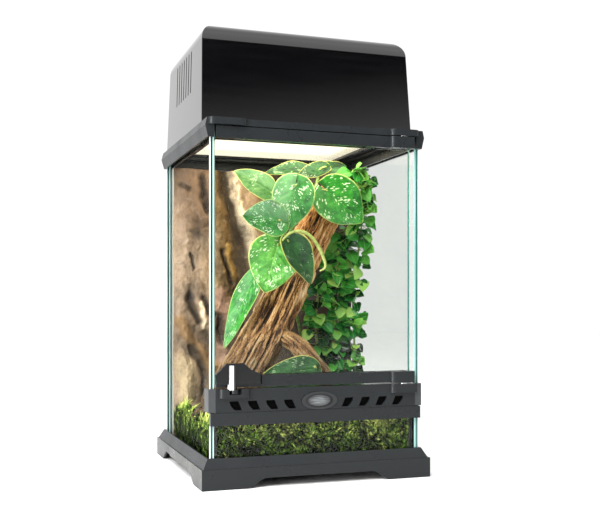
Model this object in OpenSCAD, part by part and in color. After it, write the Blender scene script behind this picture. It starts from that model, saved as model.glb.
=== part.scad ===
// Tall glass terrarium with a hinged front door, a mesh screen top and a lamp hood,
// furnished with a foam rock background, driftwood, climbing plants and moss.
// Millimetres. Origin at the middle of the footprint on the floor, +Z up, front towards -Y.

/* [Glass tank] */
// Width of the glass box over its side panes
tank_w = 200; // [196:1:230]
// Depth of the glass box, front to back
tank_d = 200; // [196:1:230]
// Height of the side and back panes
pane_h = 298; // [297:1:340]
// Thickness of every glass pane
glass_t = 4; // [3:0.5:5]
// Silicone joint between two panes
bond_gap = 0.4; // [0.2:0.1:0.8]
// Leg of the silicone bead in an inner corner
bead_leg = 3; // [2:0.5:4]
// Gap between a pane and the plastic that holds it
seat_gap = 0.3; // [0.1:0.05:0.4]
// Height of the panes' lower edges above the floor
pane_z = 14; // [12:0.5:16]
// Height of the bottom pane's underside above the floor
floor_z = 18; // [17:0.5:20]
// Height of the low front pane
front_pane_h = 48; // [46:1:48]

/* [Base frame] */
// How far the skirt stands out beyond the glass
skirt_out = 8.5; // [7:0.5:11]
// Height of the upright skirt
skirt_h = 18; // [17:0.5:20]
// Flat ledge on top of the skirt, before the bevel
skirt_ledge = 1.6; // [1:0.2:2.4]
// Height of the bevel above the skirt
bevel_h = 8.7; // [7:0.5:10]
// How far the bevel's rim stands out beyond the glass
rim_out = 2.1; // [1.8:0.1:3]
// Wall thickness of the moulded frames
wall = 2.4; // [2:0.2:2.8]
// Height of the arch between the feet
arch_h = 8.5; // [6:0.5:9]
// Length of a corner foot along the front
foot_front = 40; // [30:1:45]
// Length of a corner foot along the sides
foot_side = 32; // [26:1:40]
// Length of the curved slope from a foot to the arch
arch_slope = 19; // [12:1:24]
// Width of the shelf that carries the bottom pane
shelf_w = 13; // [8:1:18]
// Depth of the shelf's inner rib below the shelf
shelf_rib = 9; // [5:1:10]
// Number of stiffening ribs under each side
side_ribs = 5; // [3:1:9]
// Width of the cable notch in each side arch
notch_w = 21; // [12:1:26]
// Depth of the cable notch above the arch
notch_h = 1.3; // [0.8:0.1:2]

/* [Vent bar] */
// Height of the vent bar's lower edge above the floor
bar_z = 55; // [53:0.5:57]
// Height of the vent bar
bar_h = 32; // [31:0.5:34]
// Height of the wider lower band of the vent bar
band_h = 11; // [10:0.5:12]
// How far the plastic fronts stand out beyond the glass front
front_out = 4; // [3.6:0.1:5]
// Extra depth of the vent bar's lower band
band_out = 1; // [0.6:0.1:1.6]
// Depth of the vent bar's top, front to back
bar_d = 13; // [12:0.5:15]
// Width of the front lobes
lobe_w = 29; // [26:0.5:30]
// How far a lobe stands out beyond the plastic front
lobe_out = 4; // [3:0.25:5]
// Height of a lobe on the vent bar
lobe_h = 8; // [6.5:0.5:9]
// Corner radius of a lobe
lobe_r = 5; // [3:0.5:6]
// Number of air slots on each side of the badge
slots = 4; // [3:1:4]
// Spacing of the air slots
slot_pitch = 16.6; // [15:0.1:17]
// Width of an air slot at its top
slot_w = 8; // [6:0.5:9]
// Height of an air slot
slot_h = 8; // [6:0.5:9]
// Sideways lean of an air slot
slot_lean = 5; // [2:0.5:6]
// Distance of the outermost slot's outer top edge from the end of the bar between the clips
slot_end = 12; // [9:0.5:17]
// Length of the oval badge
badge_l = 33.7; // [28:0.5:36]
// Height of the oval badge
badge_h = 16.1; // [13:0.5:17]
// How far the badge stands out of the vent bar
badge_out = 1.2; // [0.8:0.1:2]
// Thickness of the woven mesh behind the slots
mesh_t = 0.8; // [0.6:0.1:1.2]
// How far a side clip reaches back beside its pane
clip_l = 12; // [8:0.5:16]
// Thickness of a side clip's cheeks
clip_t = 1.6; // [1.2:0.1:2]

/* [Door] */
// Gap between the vent bar and the door
door_gap = 1.3; // [1:0.1:2]
// Height of the door's bottom rail
rail_h = 10.4; // [9:0.2:12]
// Height of the door's top rail
top_rail_h = 10.6; // [9:0.2:12]
// Depth of the rails behind the plastic front
rail_d = 11; // [10:0.5:12]
// Gap between the door's left end and the side pane
door_side = 1; // [0.8:0.1:2]
// Distance of the hinge axis from the right side pane
hinge_in = 12; // [11:0.5:14]
// Distance of the hinge axis behind the plastic front
hinge_back = 1.5; // [1:0.1:2]
// Radius of the door's rounded hinge end
knuckle_r = 10.4; // [9:0.1:10.6]
// Radius of the hinge pins
pin_r = 2; // [1.5:0.1:2.5]
// Running clearance round a turning pin
run_gap = 0.08; // [0.04:0.01:0.1]
// Clearance round a pin that is pressed in
fit_gap = 0.02; // [0.01:0.01:0.05]

/* [Latch] */
// Distance of the latch axis from the left side pane
latch_in = 17.5; // [16.5:0.5:19]
// Width of the latch knob's left wing from the axis
wing_l = 17; // [12:0.5:17]
// Width of the latch knob's right wing from the axis
wing_r = 22.5; // [16:0.5:25]
// Height of the latch knob above the door's lower edge
knob_h = 21; // [16:0.5:24]
// Height of the knob's shoulders where the wings begin
shoulder_h = 9; // [6:0.5:11]
// Width of the knob's flat crown
crown_w = 9; // [7:0.5:12]
// Radius of the knob's central post
post_r = 3.6; // [3:0.1:3.6]
// Thickness of a wing at its tip
wing_tip = 2.2; // [1.8:0.1:3]
// Radius of the latch pin
latch_pin_r = 2.5; // [2:0.1:3]

/* [Top frame] */
// How far the top frame reaches down over the panes
top_lip = 6.2; // [5:0.2:8]
// Height of the top frame
frame_h = 16.8; // [15.5:0.2:19]
// How far the top frame's lower edge stands out beyond the glass
frame_out = 2.1; // [1.8:0.1:2.4]
// How far the frame's outer ridge stands out beyond its lower edge
ridge_out = 2.4; // [1:0.2:3]
// Height of the front beam above the door
beam_h = 6; // [5:0.2:7]
// Width of the left front lobe of the top frame
top_lobe_w = 35; // [28:0.5:36]
// Width of the ledge that carries the screen
ledge_w = 7; // [5:0.5:9]
// Thickness of that ledge
ledge_t = 2.4; // [2:0.2:3]
// Width of the shelf behind the screen, with the cable inlets
back_shelf = 11; // [10:0.5:13]
// Width of a cable inlet
inlet_w = 20; // [12:1:24]
// Depth of a cable inlet, front to back
inlet_d = 5.4; // [4.4:0.2:6]
// Distance from a cable inlet's outer end to the side pane
inlet_in = 18; // [14:1:26]
// Thickness of an inlet slider
slider_t = 1.6; // [1.2:0.2:2]
// Sliding clearance of the inlet sliders
slide_gap = 0.2; // [0.15:0.05:0.3]

/* [Screen] */
// Clearance round the lift-off screen
screen_gap = 0.4; // [0.3:0.1:0.8]
// Height of the screen frame
screen_h = 5; // [4:0.2:6]
// Width of the screen frame's bars
screen_bar = 15.5; // [12:0.5:17]
// Width of the rebate that holds the mesh
rebate_w = 4; // [3:0.5:5]
// Number of mesh openings along each side of the screen
mesh_n = 10; // [8:1:12]
// Width of the wires that stand for the mesh
wire_w = 1.2; // [0.8:0.1:2]

/* [Hood] */
// How far the hood's lower edge stands out over the tank's sides
hood_over = 2.3; // [-2:0.1:2.3]
// Distance of the hood's front behind the tank's front plane
hood_front_in = 20; // [18:0.5:24]
// Distance of the hood's back in front of the tank's back plane
hood_back_in = 16.5; // [16:0.5:18]
// Height of the hood
hood_h = 92.8; // [88:0.2:110]
// Inward lean of each side over the hood's height
side_draft = 2.4; // [1:0.2:4]
// Inward lean of the front and back over the hood's height
end_draft = 8.8; // [4:0.2:10]
// Radius of the hood's front and back top edges
front_r = 18.5; // [12:0.5:20]
// Radius of the hood's side top edges
side_r = 16; // [10:0.5:18]
// Wall thickness of the hood
hood_t = 2.4; // [2:0.2:3]
// Gap between the hood and the top frame
hood_gap = 0.3; // [0.2:0.1:0.4]
// Number of louvres in each side
louvres = 7; // [4:1:8]
// Spacing of the louvres
louvre_pitch = 10.8; // [8:0.2:11]
// Width of a louvre
louvre_w = 3; // [2:0.2:4]
// Height of a louvre
louvre_h = 39; // [25:1:42]
// Thickness of the tray and its fittings
tray_t = 2; // [1.6:0.2:2.6]
// Thickness of the opal diffuser
opal_t = 1; // [0.8:0.1:1.2]
// Height of the reflector
reflector_h = 60; // [56:1:64]
// Thickness of the reflector sheet
sheet_t = 1; // [0.8:0.1:1.2]
// Radius of the lamp's glass
lamp_r = 21; // [16:0.5:22]
// Length of the lamp's glass
lamp_l = 76; // [50:1:84]
// Radius of the lamp's screw cap
cap_r = 13; // [12:0.25:13.5]
// Length of the lamp holder's sleeve
holder_l = 40; // [34:1:44]
// Length of the ballast box
ballast_l = 64; // [50:1:70]
// Width of the ballast box
ballast_w = 34; // [28:1:36]
// Height of the ballast box
ballast_h = 18; // [14:1:20]
// Bore radius of the lead gland
gland_r = 3.2; // [2.6:0.1:4]
// Length of the lead gland
gland_l = 16; // [12:0.5:18]
// Width of the rocker switch opening
rocker_w = 17; // [14:0.5:20]
// Height of the rocker switch opening
rocker_h = 19; // [17:0.5:22]
// Tilt of the rocker to each side
rocker_tilt = 8; // [5:1:10]
// Radius of the screws that hold the tray
screw_r = 1.5; // [1.25:0.25:1.75]
// Length of those screws under the head
screw_l = 12; // [10:0.5:14]
// Height of their heads
screw_head = 1.2; // [1:0.1:1.4]

/* [Planting] */
// Thickness of the rock background at the left
rock_t = 11; // [9:0.5:13]
// Extra thickness of the rock background at the right
rock_bulge = 30; // [20:1:32]
// Height of the soil above the bottom pane
soil_h = 24; // [20:1:25]
// Thickness of the moss on the soil
moss_t = 4; // [3:0.5:5]
// Thickness of the moss in front of the soil
moss_front = 9; // [6:0.5:12]
// Radius of the driftwood at its middle
wood_r = 19; // [15:0.5:20]
// Radius of the satin vine's stem
vine_r = 1.6; // [1.2:0.1:2]
// Radius of a leaf's stalk
stalk_r = 0.9; // [0.7:0.1:1.2]
// Thickness of a leaf
leaf_t = 0.9; // [0.6:0.1:1.2]
// Length of a creeper leaf
creeper_leaf = 12; // [9:0.5:13]

/* [Hidden] */
$fn = 64;
eps = 0.01;      // overlap between cutting tools and what they cut
past = 20;       // how far a cutting tool runs past a face

// Half sizes of the glass box, outside and inside
gx = tank_w / 2;
gy = tank_d / 2;
ix = gx - glass_t;
iy = gy - glass_t;
pane_top = pane_z + pane_h;

// Base frame
base_x = gx + skirt_out;
base_y = gy + skirt_out;
rim_z = skirt_h + bevel_h;
in_x = ix - seat_gap;
in_y = iy - seat_gap;
shelf_x = in_x - wall - shelf_w;
shelf_y = in_y - wall - shelf_w;

// Half length of the vent bar between the clips, and where its slots begin
bay_x = ix - door_side;
slot_reach = bay_x - slot_end;

// Front plane of the plastic fronts, and the heights that meet there
front_y = -gy - front_out;
bar_top = bar_z + bar_h;
band_top = bar_z + band_h;
front_top = pane_z + front_pane_h;
door_z = bar_top + door_gap;
frame_z = pane_top - top_lip;
frame_top = frame_z + frame_h;
beam_z = frame_top - beam_h;
door_top = beam_z - 0.8;
hinge_x = ix - hinge_in;
hinge_y = front_y + hinge_back;
latch_x = -ix + latch_in;
latch_y = front_y + 0.5;
collar_r = pin_r + 2.5;
badge_z = band_top + badge_h / 2 + seat_gap;

// Door
door_left = -ix + door_side;
door_glass_right = hinge_x + knuckle_r - 2.6;
door_glass_z = door_z + 2.8;
door_glass_top = door_top - 2.6;
door_glass_y = front_y + 5;
knob_back = door_glass_y - seat_gap - 1.6;
knob_z = door_z + 2.7;

// Top frame
side_in = in_x - wall;
ledge_z = beam_z - ledge_t;
screen_x = side_in - 0.7;
screen_front = -iy + 8;
screen_back = side_in + (iy - ix) - back_shelf;
screen_z = ledge_z + ledge_t + seat_gap;
inlet_y = screen_back + back_shelf / 2 + 0.3;
track_z = beam_z + 1.6;
track_half = 4.4;   // half the width of a slider's track
inlet_lap = 2;      // how far a slider covers its inlet's rim

// Hood
hood_half = gx + hood_over;
hood_z = frame_top + hood_gap;
hood_top = hood_z + hood_h;
hood_front = -gy + hood_front_in;
hood_back = gy - hood_back_in;
hood_mid = (hood_front + hood_back) / 2;
hood_d = hood_back - hood_front;
tray_z = hood_z + 1.6;
tray_top = tray_z + tray_t;
window_x = screen_x - screen_bar;
window_front = screen_front + screen_bar;
window_back = screen_back - screen_bar / 2;
opal_lap = 2.7;     // how far the diffuser lies on the rim of the tray's window
lamp_y = hood_mid;
lamp_z = tray_top + 31;
holder_x = 12.2 - hood_half;  // clear of the hood's leaning side
holder_cap = 16;              // depth at which the lamp's cap sits in its holder
ballast_x = 18;
boss_y = hood_back - 1.2;
louvre_top = hood_top - front_r + 1;
louvre_back = 1.8;  // how far the louvres stand behind the middle of a side
switch_x = 41;
switch_z = hood_z + 41;
gland_x = -40;
gland_z = hood_z + 37;

// Badge: how far its foot is set in from its edge
badge_foot = 3;

// Latch: depth of the cam's room in the lobe, its lip behind the axis, and the room for the turned nose
cam_room = 5;
cam_lip = 6.2;
cam_turn = 5.6;

frame_col = "#3e4244";
glass_col = [0.78, 0.88, 0.85, 0.35];
steel_col = "#b9bdbf";

// ---------- shared shapes ----------

// A box centred on the vertical axis, from z0 to z1
module block(w, d, z0, z1) {
  translate([-w / 2, -d / 2, z0]) cube([w, d, z1 - z0]);
}

// A box between two corners
module span(a, b) {
  translate(a) cube(b - a);
}

// A square ring between two half sizes on each axis
module ring(ox, oy, nx, ny, z0, z1) {
  difference() {
    block(2 * ox, 2 * oy, z0, z1);
    block(2 * nx, 2 * ny, z0 - eps, z1 + eps);
  }
}

// A profile drawn in X and Z, run along Y from y0 to y1
module along_y(y0, y1) {
  translate([0, y1, 0]) rotate([90, 0, 0]) linear_extrude(y1 - y0) children();
}

// A profile drawn in Y and Z, run along X from x0 to x1
module along_x(x0, x1) {
  translate([x0, 0, 0]) rotate([90, 0, 90]) linear_extrude(x1 - x0) children();
}

// Points of an ellipse
function oval(a, b, n = 48) = [for (i = [0:n - 1]) [a * cos(360 * i / n), b * sin(360 * i / n)]];

// Smooth rise from 0 to 1
function ease(t) = (1 - cos(180 * min(1, max(0, t)))) / 2;

// Plan of a front lobe: a plate with rounded corners that stands out by reach
module lobe_plan(w, reach, r, depth) {
  translate([-w / 2, -reach + r]) square([w, depth + reach - r]);
  translate([-w / 2 + r, -reach]) square([w - 2 * r, r + eps]);
  for (s = [-1, 1]) translate([s * (w / 2 - r), -reach + r]) circle(r);
}

// ---------- base ----------

// Half profile of the skirt, mirrored to both sides
function skirt_side(h) = [[h, 0], [h, skirt_h], [h - skirt_ledge, skirt_h],
                          [h - skirt_out + rim_out, rim_z]];
module skirt_profile(h) {
  p = skirt_side(h);
  polygon(concat(p, [for (i = [3:-1:0]) [-p[i][0], p[i][1]]]));
}

// Opening between two feet: a flat arch with a curved slope at each end
module arch_profile(half, foot) {
  n = 8;
  slope = [for (i = [0:n]) [half - foot - arch_slope * i / n, arch_h * ease(i / n)]];
  polygon(concat([[half - foot, -past]], slope,
                 [for (i = [n:-1:0]) [-slope[i][0], slope[i][1]]], [[foot - half, -past]]));
}

module base_ribs() {
  rib_z = arch_h + notch_h + 0.2;
  for (i = [0:side_ribs - 1]) {
    at = (i - (side_ribs - 1) / 2) * (2 * shelf_x - foot_side) / (side_ribs - 1);
    for (s = [-1, 1]) {
      span([s > 0 ? shelf_x : -base_x + wall / 2, at - 1, rib_z],
           [s > 0 ? base_x - wall / 2 : -shelf_x, at + 1, pane_z - eps]);
      span([at - 1, s > 0 ? shelf_y : -base_y + wall / 2, rib_z],
           [at + 1, s > 0 ? base_y - wall / 2 : -shelf_y, pane_z - eps]);
    }
  }
}

module base_frame() color(frame_col) {
  difference() {
    union() {
      difference() {
        intersection() {
          along_y(-base_y, base_y) skirt_profile(base_x);
          along_x(-base_x, base_x) skirt_profile(base_y);
        }
        // underside, hollow up to the pane channel, the bevel and the shelf
        ring(base_x - wall, base_y - wall, in_x - wall, in_y - wall, -past, pane_z - wall);
        ring(base_x - wall, base_y - wall, gx + rim_out, gy + rim_out, -past, skirt_h - wall);
        ring(in_x - wall + eps, in_y - wall + eps, shelf_x + wall, shelf_y + wall,
             -past, floor_z - wall);
        block(2 * shelf_x, 2 * shelf_y, -past, rim_z + past);
        block(2 * (shelf_x + wall), 2 * (shelf_y + wall), -past, floor_z - shelf_rib);
      }
      base_ribs();
    }
    // channel for the panes, and the seat of the bottom pane
    ring(gx + seat_gap, gy + seat_gap, in_x, in_y, pane_z, rim_z + past);
    block(2 * in_x + eps, 2 * in_y + eps, floor_z, rim_z + past);
    along_y(-base_y - past, base_y + past) arch_profile(base_x, foot_front);
    along_x(-base_x - past, base_x + past) arch_profile(base_y, foot_side);
    translate([0, base_y - foot_side - arch_slope - notch_w / 2, 0])
      block(2 * (base_x + past), notch_w, -eps, arch_h + notch_h);
  }
}

// ---------- glass ----------

module bottom_glass() color(glass_col)
  block(2 * (ix - bond_gap), 2 * (iy - bond_gap), floor_z, floor_z + glass_t);

module side_pane(s) color(glass_col)
  span([s > 0 ? ix : -gx, -gy, pane_z], [s > 0 ? gx : -ix, gy, pane_top]);
module left_glass() side_pane(-1);
module right_glass() side_pane(1);

module back_glass() color(glass_col)
  span([-ix + bond_gap, iy, pane_z], [ix - bond_gap, gy, pane_top]);

module front_glass() color(glass_col)
  span([-ix + bond_gap, -gy, pane_z], [ix - bond_gap, -iy, front_top]);

// Triangular bead in an inner corner, drawn in plan
module bead() {
  polygon([[0, 0], [bead_leg, 0], [0, bead_leg]]);
}

module silicone_seams() color("#26292a") {
  floor_top = floor_z + glass_t;
  for (s = [-1, 1]) {
    // bond of the back and front panes to the side panes, with a bead up the back corners
    span([s > 0 ? ix - bond_gap : -ix, iy, pane_z], [s > 0 ? ix : -ix + bond_gap, gy, pane_top]);
    span([s > 0 ? ix - bond_gap : -ix, -gy, pane_z], [s > 0 ? ix : -ix + bond_gap, -iy, front_top]);
    translate([s * ix, iy, floor_top]) linear_extrude(frame_z - seat_gap - floor_top)
      mirror([s > 0 ? 1 : 0, 0]) mirror([0, 1]) bead();
    // bond round the edge of the bottom pane
    span([s > 0 ? ix - bond_gap : -ix, -iy, floor_z], [s > 0 ? ix : -ix + bond_gap, iy, floor_top]);
    span([-ix, s > 0 ? iy - bond_gap : -iy, floor_z], [ix, s > 0 ? iy : -iy + bond_gap, floor_top]);
  }
}

// ---------- vent bar ----------

// One leaning air slot with a curved outer edge, outer top corner at the origin
module slot_shape() {
  n = 6;
  bow = 1.2;
  edge = [for (i = [0:n]) [slot_lean * i / n - bow * sin(180 * i / n), -slot_h * i / n]];
  polygon(concat(edge, [[slot_lean + 0.8 * slot_w, -slot_h], [slot_w, 0]]));
}

module vent_slots() {
  for (s = [0, 1]) mirror([s, 0]) for (i = [0:slots - 1])
    translate([-slot_reach + i * slot_pitch, band_top + 2 + slot_h]) slot_shape();
}

// The hollow in the left lobe, open at the top, front and back: the cam leaves by the neck
// and turns sideways into the pocket behind the lip
module cam_pocket() {
  neck = 5.4;
  z0 = bar_top - cam_room;
  translate([latch_x, 0, 0]) {
    span([-neck, front_y - lobe_out - eps, z0], [neck, latch_y + cam_lip + eps, bar_top + eps]);
    span([-neck, latch_y + cam_lip, z0], [neck + cam_turn, front_y + bar_d + eps, bar_top + eps]);
  }
}

module vent_bar() color(frame_col) {
  lip_y = -iy + seat_gap;
  bridge_z = front_top + seat_gap;
  difference() {
    union() {
      // front wall, top wall, wider lower band, bridge over the front pane and its inner lip
      span([-bay_x, front_y, band_top - eps], [bay_x, front_y + wall, bar_top]);
      span([-bay_x, front_y, bar_top - wall], [bay_x, front_y + bar_d, bar_top]);
      span([-gx, front_y - band_out, bar_z], [gx, -gy - seat_gap, band_top]);
      span([-bay_x, front_y, bridge_z], [bay_x, lip_y + wall, bridge_z + wall]);
      span([-bay_x, lip_y, bar_z + 2], [bay_x, lip_y + wall, bridge_z + wall]);
      for (s = [-1, 1]) translate([s > 0 ? hinge_x : latch_x, front_y, bar_top - lobe_h])
        linear_extrude(lobe_h) lobe_plan(lobe_w, lobe_out, lobe_r, bar_d);
    }
    // behind the lobes' fronts, the side panes and their clips have the room
    for (s = [0, 1]) mirror([s, 0, 0])
      span([bay_x, front_y + seat_gap, band_top], [gx + past, 0, bar_top + past]);
    along_y(front_y - past, front_y + wall + 0.2) vent_slots();
    along_y(front_y - past, front_y + wall + past) translate([0, badge_z])
      polygon(oval(badge_l / 2 - badge_foot, badge_h / 2 - badge_foot));
    cam_pocket();
    translate([hinge_x, hinge_y, bar_top - lobe_h - eps]) cylinder(r = pin_r + fit_gap, h = lobe_h + 1);
  }
}

module vent_mesh() color(steel_col) {
  z0 = band_top + 0.1;
  z1 = bar_top - lobe_h - 0.1;
  y0 = front_y + wall + 0.1;
  n = 26;
  rows = 2;
  pitch = 2 * (slot_reach + 2) / n;
  difference() {
    span([-slot_reach - 3, y0, z0], [slot_reach + 3, y0 + mesh_t, z1]);
    for (i = [0:n - 1], j = [0:rows - 1])
      translate([-slot_reach - 2 + pitch * i + 0.4, y0 - 1, z0 + 1 + j * (z1 - z0 - 1) / rows])
        cube([pitch - 0.8, mesh_t + 2, (z1 - z0 - 1) / rows - 1]);
  }
}

module badge() color("#9ea3a6") {
  translate([0, 0, badge_z]) {
    along_y(front_y - badge_out, front_y - eps) difference() {
      polygon(oval(badge_l / 2, badge_h / 2));
      polygon(oval(badge_l / 2 - 5.2, badge_h / 2 - 2.4));
    }
    along_y(front_y - badge_out / 2, front_y - eps)
      polygon(oval(badge_l / 2 - 5.2 + eps, badge_h / 2 - 2.4 + eps));
    along_y(front_y - 2 * eps, front_y + wall - 0.2)
      polygon(oval(badge_l / 2 - badge_foot - 0.1, badge_h / 2 - badge_foot - 0.1));
  }
}

// Clips that grip the side panes beside the vent bar
module vent_bar_clips() color("#8f9496") {
  for (s = [0, 1]) mirror([s, 0, 0]) difference() {
    span([bay_x + 0.1, front_y + 0.4, band_top + 0.4], [gx + clip_t, -gy + clip_l, bar_top]);
    span([ix - 0.2, -gy - 0.1, band_top - past], [gx + 0.2, past, bar_top + past]);
    span([ix - past, -gy + clip_t + 0.4, band_top - past], [ix, past, bar_top + past]);
  }
}

module hinge_pin(z0, z1, collar_z, collar_h) color(steel_col)
  translate([hinge_x, hinge_y, 0]) {
    translate([0, 0, z0]) cylinder(r = pin_r, h = z1 - z0);
    translate([0, 0, collar_z]) cylinder(r = collar_r, h = collar_h);
  }
module lower_hinge_pin()
  hinge_pin(bar_top - lobe_h + 0.5, door_z + rail_h - 2.4, bar_top, door_gap - 0.3);
module upper_hinge_pin()
  hinge_pin(door_top - top_rail_h + 2.4, frame_top - 1, door_top + 0.3, beam_z - door_top - 0.3);

// ---------- door ----------

// Plan of a door rail: a bar, a rounded hinge end and a front lobe round the pin
module rail_plan() {
  difference() {
    union() {
      translate([door_left, front_y]) square([hinge_x - door_left, rail_d]);
      intersection() {
        translate([hinge_x - eps, front_y]) square([knuckle_r, rail_d]);
        translate([hinge_x, hinge_y]) circle(knuckle_r);
      }
      translate([hinge_x, hinge_y]) intersection() {
        translate([0, -hinge_back]) lobe_plan(2 * knuckle_r + 8, lobe_out, lobe_r, lobe_r);
        union() {
          circle(knuckle_r);
          translate([-past, -past]) square([past, 2 * past]);
        }
      }
    }
    translate([hinge_x, hinge_y]) circle(pin_r + run_gap);
  }
}

// Groove that holds the door glass
module door_groove(z0, z1)
  span([door_left - past, door_glass_y - seat_gap, z0],
       [door_glass_right + seat_gap, door_glass_y + glass_t + seat_gap, z1]);

module door_glass() color(glass_col)
  span([door_left, door_glass_y, door_glass_z],
       [door_glass_right, door_glass_y + glass_t, door_glass_top]);

module door_bottom_rail() color(frame_col) difference() {
  translate([0, 0, door_z]) difference() {
    linear_extrude(rail_h) rail_plan();
    // hole of the latch pin
    translate([latch_x, latch_y, -eps]) cylinder(r = latch_pin_r + run_gap, h = rail_h + 1);
  }
  door_groove(door_glass_z - seat_gap, door_z + rail_h + past);
  // room for the latch knob in front of the rail
  span([door_left - past, front_y - past, door_z + 2.4],
       [latch_x + wing_r + 2.5, knob_back, door_z + rail_h + past]);
}

module door_top_rail() color(frame_col) difference() {
  translate([0, 0, door_top - top_rail_h]) linear_extrude(top_rail_h) rail_plan();
  door_groove(door_top - top_rail_h - past, door_glass_top + seat_gap);
}

// ---------- latch ----------

// Front outline of the thumb-turn, seen from the front with the axis at x = 0
module knob_front() {
  polygon([[-wing_l, 0], [-wing_l - 0.4, shoulder_h], [-crown_w / 2, knob_h], [crown_w / 2, knob_h],
           [wing_r * 0.62, shoulder_h + 3.5], [wing_r, shoulder_h], [wing_r, 0]]);
}

// Plan of the wings: thick at the post and thin at the tips
module knob_plan() {
  f = -lobe_out - 0.5;
  b = knob_back - 0.3 - latch_y;
  polygon([[-wing_l - 1, f], [wing_r + 1, f], [wing_r + 1, f + wing_tip], [0, b],
           [-wing_l - 1, f + wing_tip]]);
}

module latch_knob() color("#2c2f31") translate([latch_x, latch_y, knob_z]) {
  k = knob_h - (knob_z - door_z);
  pin_l = knob_z - bar_top + cam_room - 1;
  difference() {
    union() {
      intersection() {
        along_y(-past, past) intersection() {
          knob_front();
          translate([-past * 2, 0]) square([past * 4, k]);
        }
        linear_extrude(k) knob_plan();
      }
      translate([0, knob_back - 0.3 - latch_y - post_r, 0]) cylinder(r = post_r, h = k);
      translate([0, 0, -pin_l]) cylinder(r = latch_pin_r, h = pin_l + 1);
    }
    // finger hollows beside the post
    for (s = [-1, 1]) translate([s * (post_r + 7.2), -lobe_out - 3.6, shoulder_h * 0.9])
      rotate([90, 0, 0]) cylinder(r = 6, h = 6, center = true);
  }
}

module latch_cam() color(steel_col) translate([latch_x, latch_y, bar_top - cam_room + 0.6]) difference() {
  h = cam_room - 1.4;
  nose_y = cam_lip + 2.6;
  union() {
    cylinder(r = latch_pin_r + 1.6, h = h);
    span([-latch_pin_r, 0, 0], [latch_pin_r, nose_y + 3, h]);
    span([-latch_pin_r, nose_y, 0], [latch_pin_r + 2.5, nose_y + 3, h]);
  }
  translate([0, 0, -eps]) cylinder(r = latch_pin_r + fit_gap, h = h + 1);
}

// ---------- top frame ----------

module frame_profile(h, flat_front) {
  low = h + frame_out;
  high = low + 0.9;
  mid = low + ridge_out;
  zr = frame_z + frame_h * 0.6;
  front = flat_front ? [[front_y, frame_top], [front_y, frame_z]]
                     : [[-high, frame_top], [-mid, zr], [-low, frame_z]];
  polygon(concat([[low, frame_z], [mid, zr], [high, frame_top]], front));
}

// Opening, track and thumb window of one cable inlet on the right-hand side
module inlet_cut() {
  x1 = ix - inlet_in;
  end = x1 + inlet_lap + slide_gap;
  start = x1 - 2 * inlet_w - 5;
  half = inlet_d / 2;
  translate([0, inlet_y, 0]) {
    span([x1 - inlet_w, -half, ledge_z - past], [x1, half, track_z + eps]);
    span([start, -track_half, track_z], [end, track_half, track_z + slider_t + 2 * slide_gap]);
    span([start, -half, track_z], [end, half, frame_top + past]);
  }
}

module top_frame() color(frame_col) {
  room_x = ix + 0.4;
  difference() {
    union() {
      intersection() {
        along_y(front_y, gy + past) frame_profile(gx, false);
        along_x(-gx - past, gx + past) frame_profile(gy, true);
      }
      for (s = [-1, 1]) translate([s > 0 ? hinge_x : -gx - frame_out + top_lobe_w / 2, front_y, beam_z])
        linear_extrude(beam_h) lobe_plan(s > 0 ? lobe_w : top_lobe_w, lobe_out, lobe_r, 2 * lobe_r);
    }
    // bay of the door
    span([-room_x, front_y - past, frame_z - past], [room_x, front_y + rail_d + 1.6, beam_z]);
    // channel over the side and back panes
    difference() {
      ring(gx + seat_gap, gy + seat_gap, in_x, in_y, frame_z - past, pane_top + seat_gap);
      span([-gx - past, front_y - eps, frame_z - past - 1], [gx + past, -gy - seat_gap, pane_top + past]);
      span([-ix + past, -gy - past, frame_z - past - 1], [ix - past, 0, pane_top + past]);
    }
    // inside, under the ledge
    block(2 * side_in, 2 * (in_y - wall), frame_z - past, ledge_z);
    // ledge opening and screen seat
    span([-side_in + ledge_w, screen_front + ledge_w - 2, ledge_z - past],
         [side_in - ledge_w, screen_back - ledge_w + 2, frame_top + past]);
    span([-screen_x - screen_gap, screen_front - screen_gap, ledge_z + ledge_t],
         [screen_x + screen_gap, screen_back + screen_gap, frame_top + past]);
    for (s = [0, 1]) mirror([s, 0, 0]) inlet_cut();
    translate([hinge_x, hinge_y, beam_z - eps]) cylinder(r = pin_r + fit_gap, h = beam_h - 0.9);
  }
}

// Slider that closes a cable inlet, with a thumb ridge
module inlet_slider(s) color("#2c2f31") mirror([s < 0 ? 1 : 0, 0, 0]) {
  x1 = ix - inlet_in + inlet_lap;
  x0 = x1 - inlet_w - 2 * inlet_lap;
  half = track_half - slide_gap;
  span([x0, inlet_y - half, track_z + slide_gap], [x1, inlet_y + half, track_z + slide_gap + slider_t]);
  for (i = [0:2]) translate([(x0 + x1) / 2 - 4 + 4 * i, inlet_y, track_z + slide_gap + slider_t - eps])
    translate([-0.8, -inlet_d / 2 + slide_gap, 0]) cube([1.6, inlet_d - 2 * slide_gap, 1.4]);
}
module inlet_slider_left() inlet_slider(-1);
module inlet_slider_right() inlet_slider(1);

// ---------- screen ----------

module screen_frame() color(frame_col) difference() {
  span([-screen_x, screen_front, screen_z], [screen_x, screen_back, screen_z + screen_h]);
  span([-window_x, window_front, screen_z - past], [window_x, window_back, screen_z + past]);
  span([-window_x - rebate_w, window_front - rebate_w, screen_z + screen_h * 0.45],
       [window_x + rebate_w, window_back + rebate_w, screen_z + past]);
}

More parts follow.
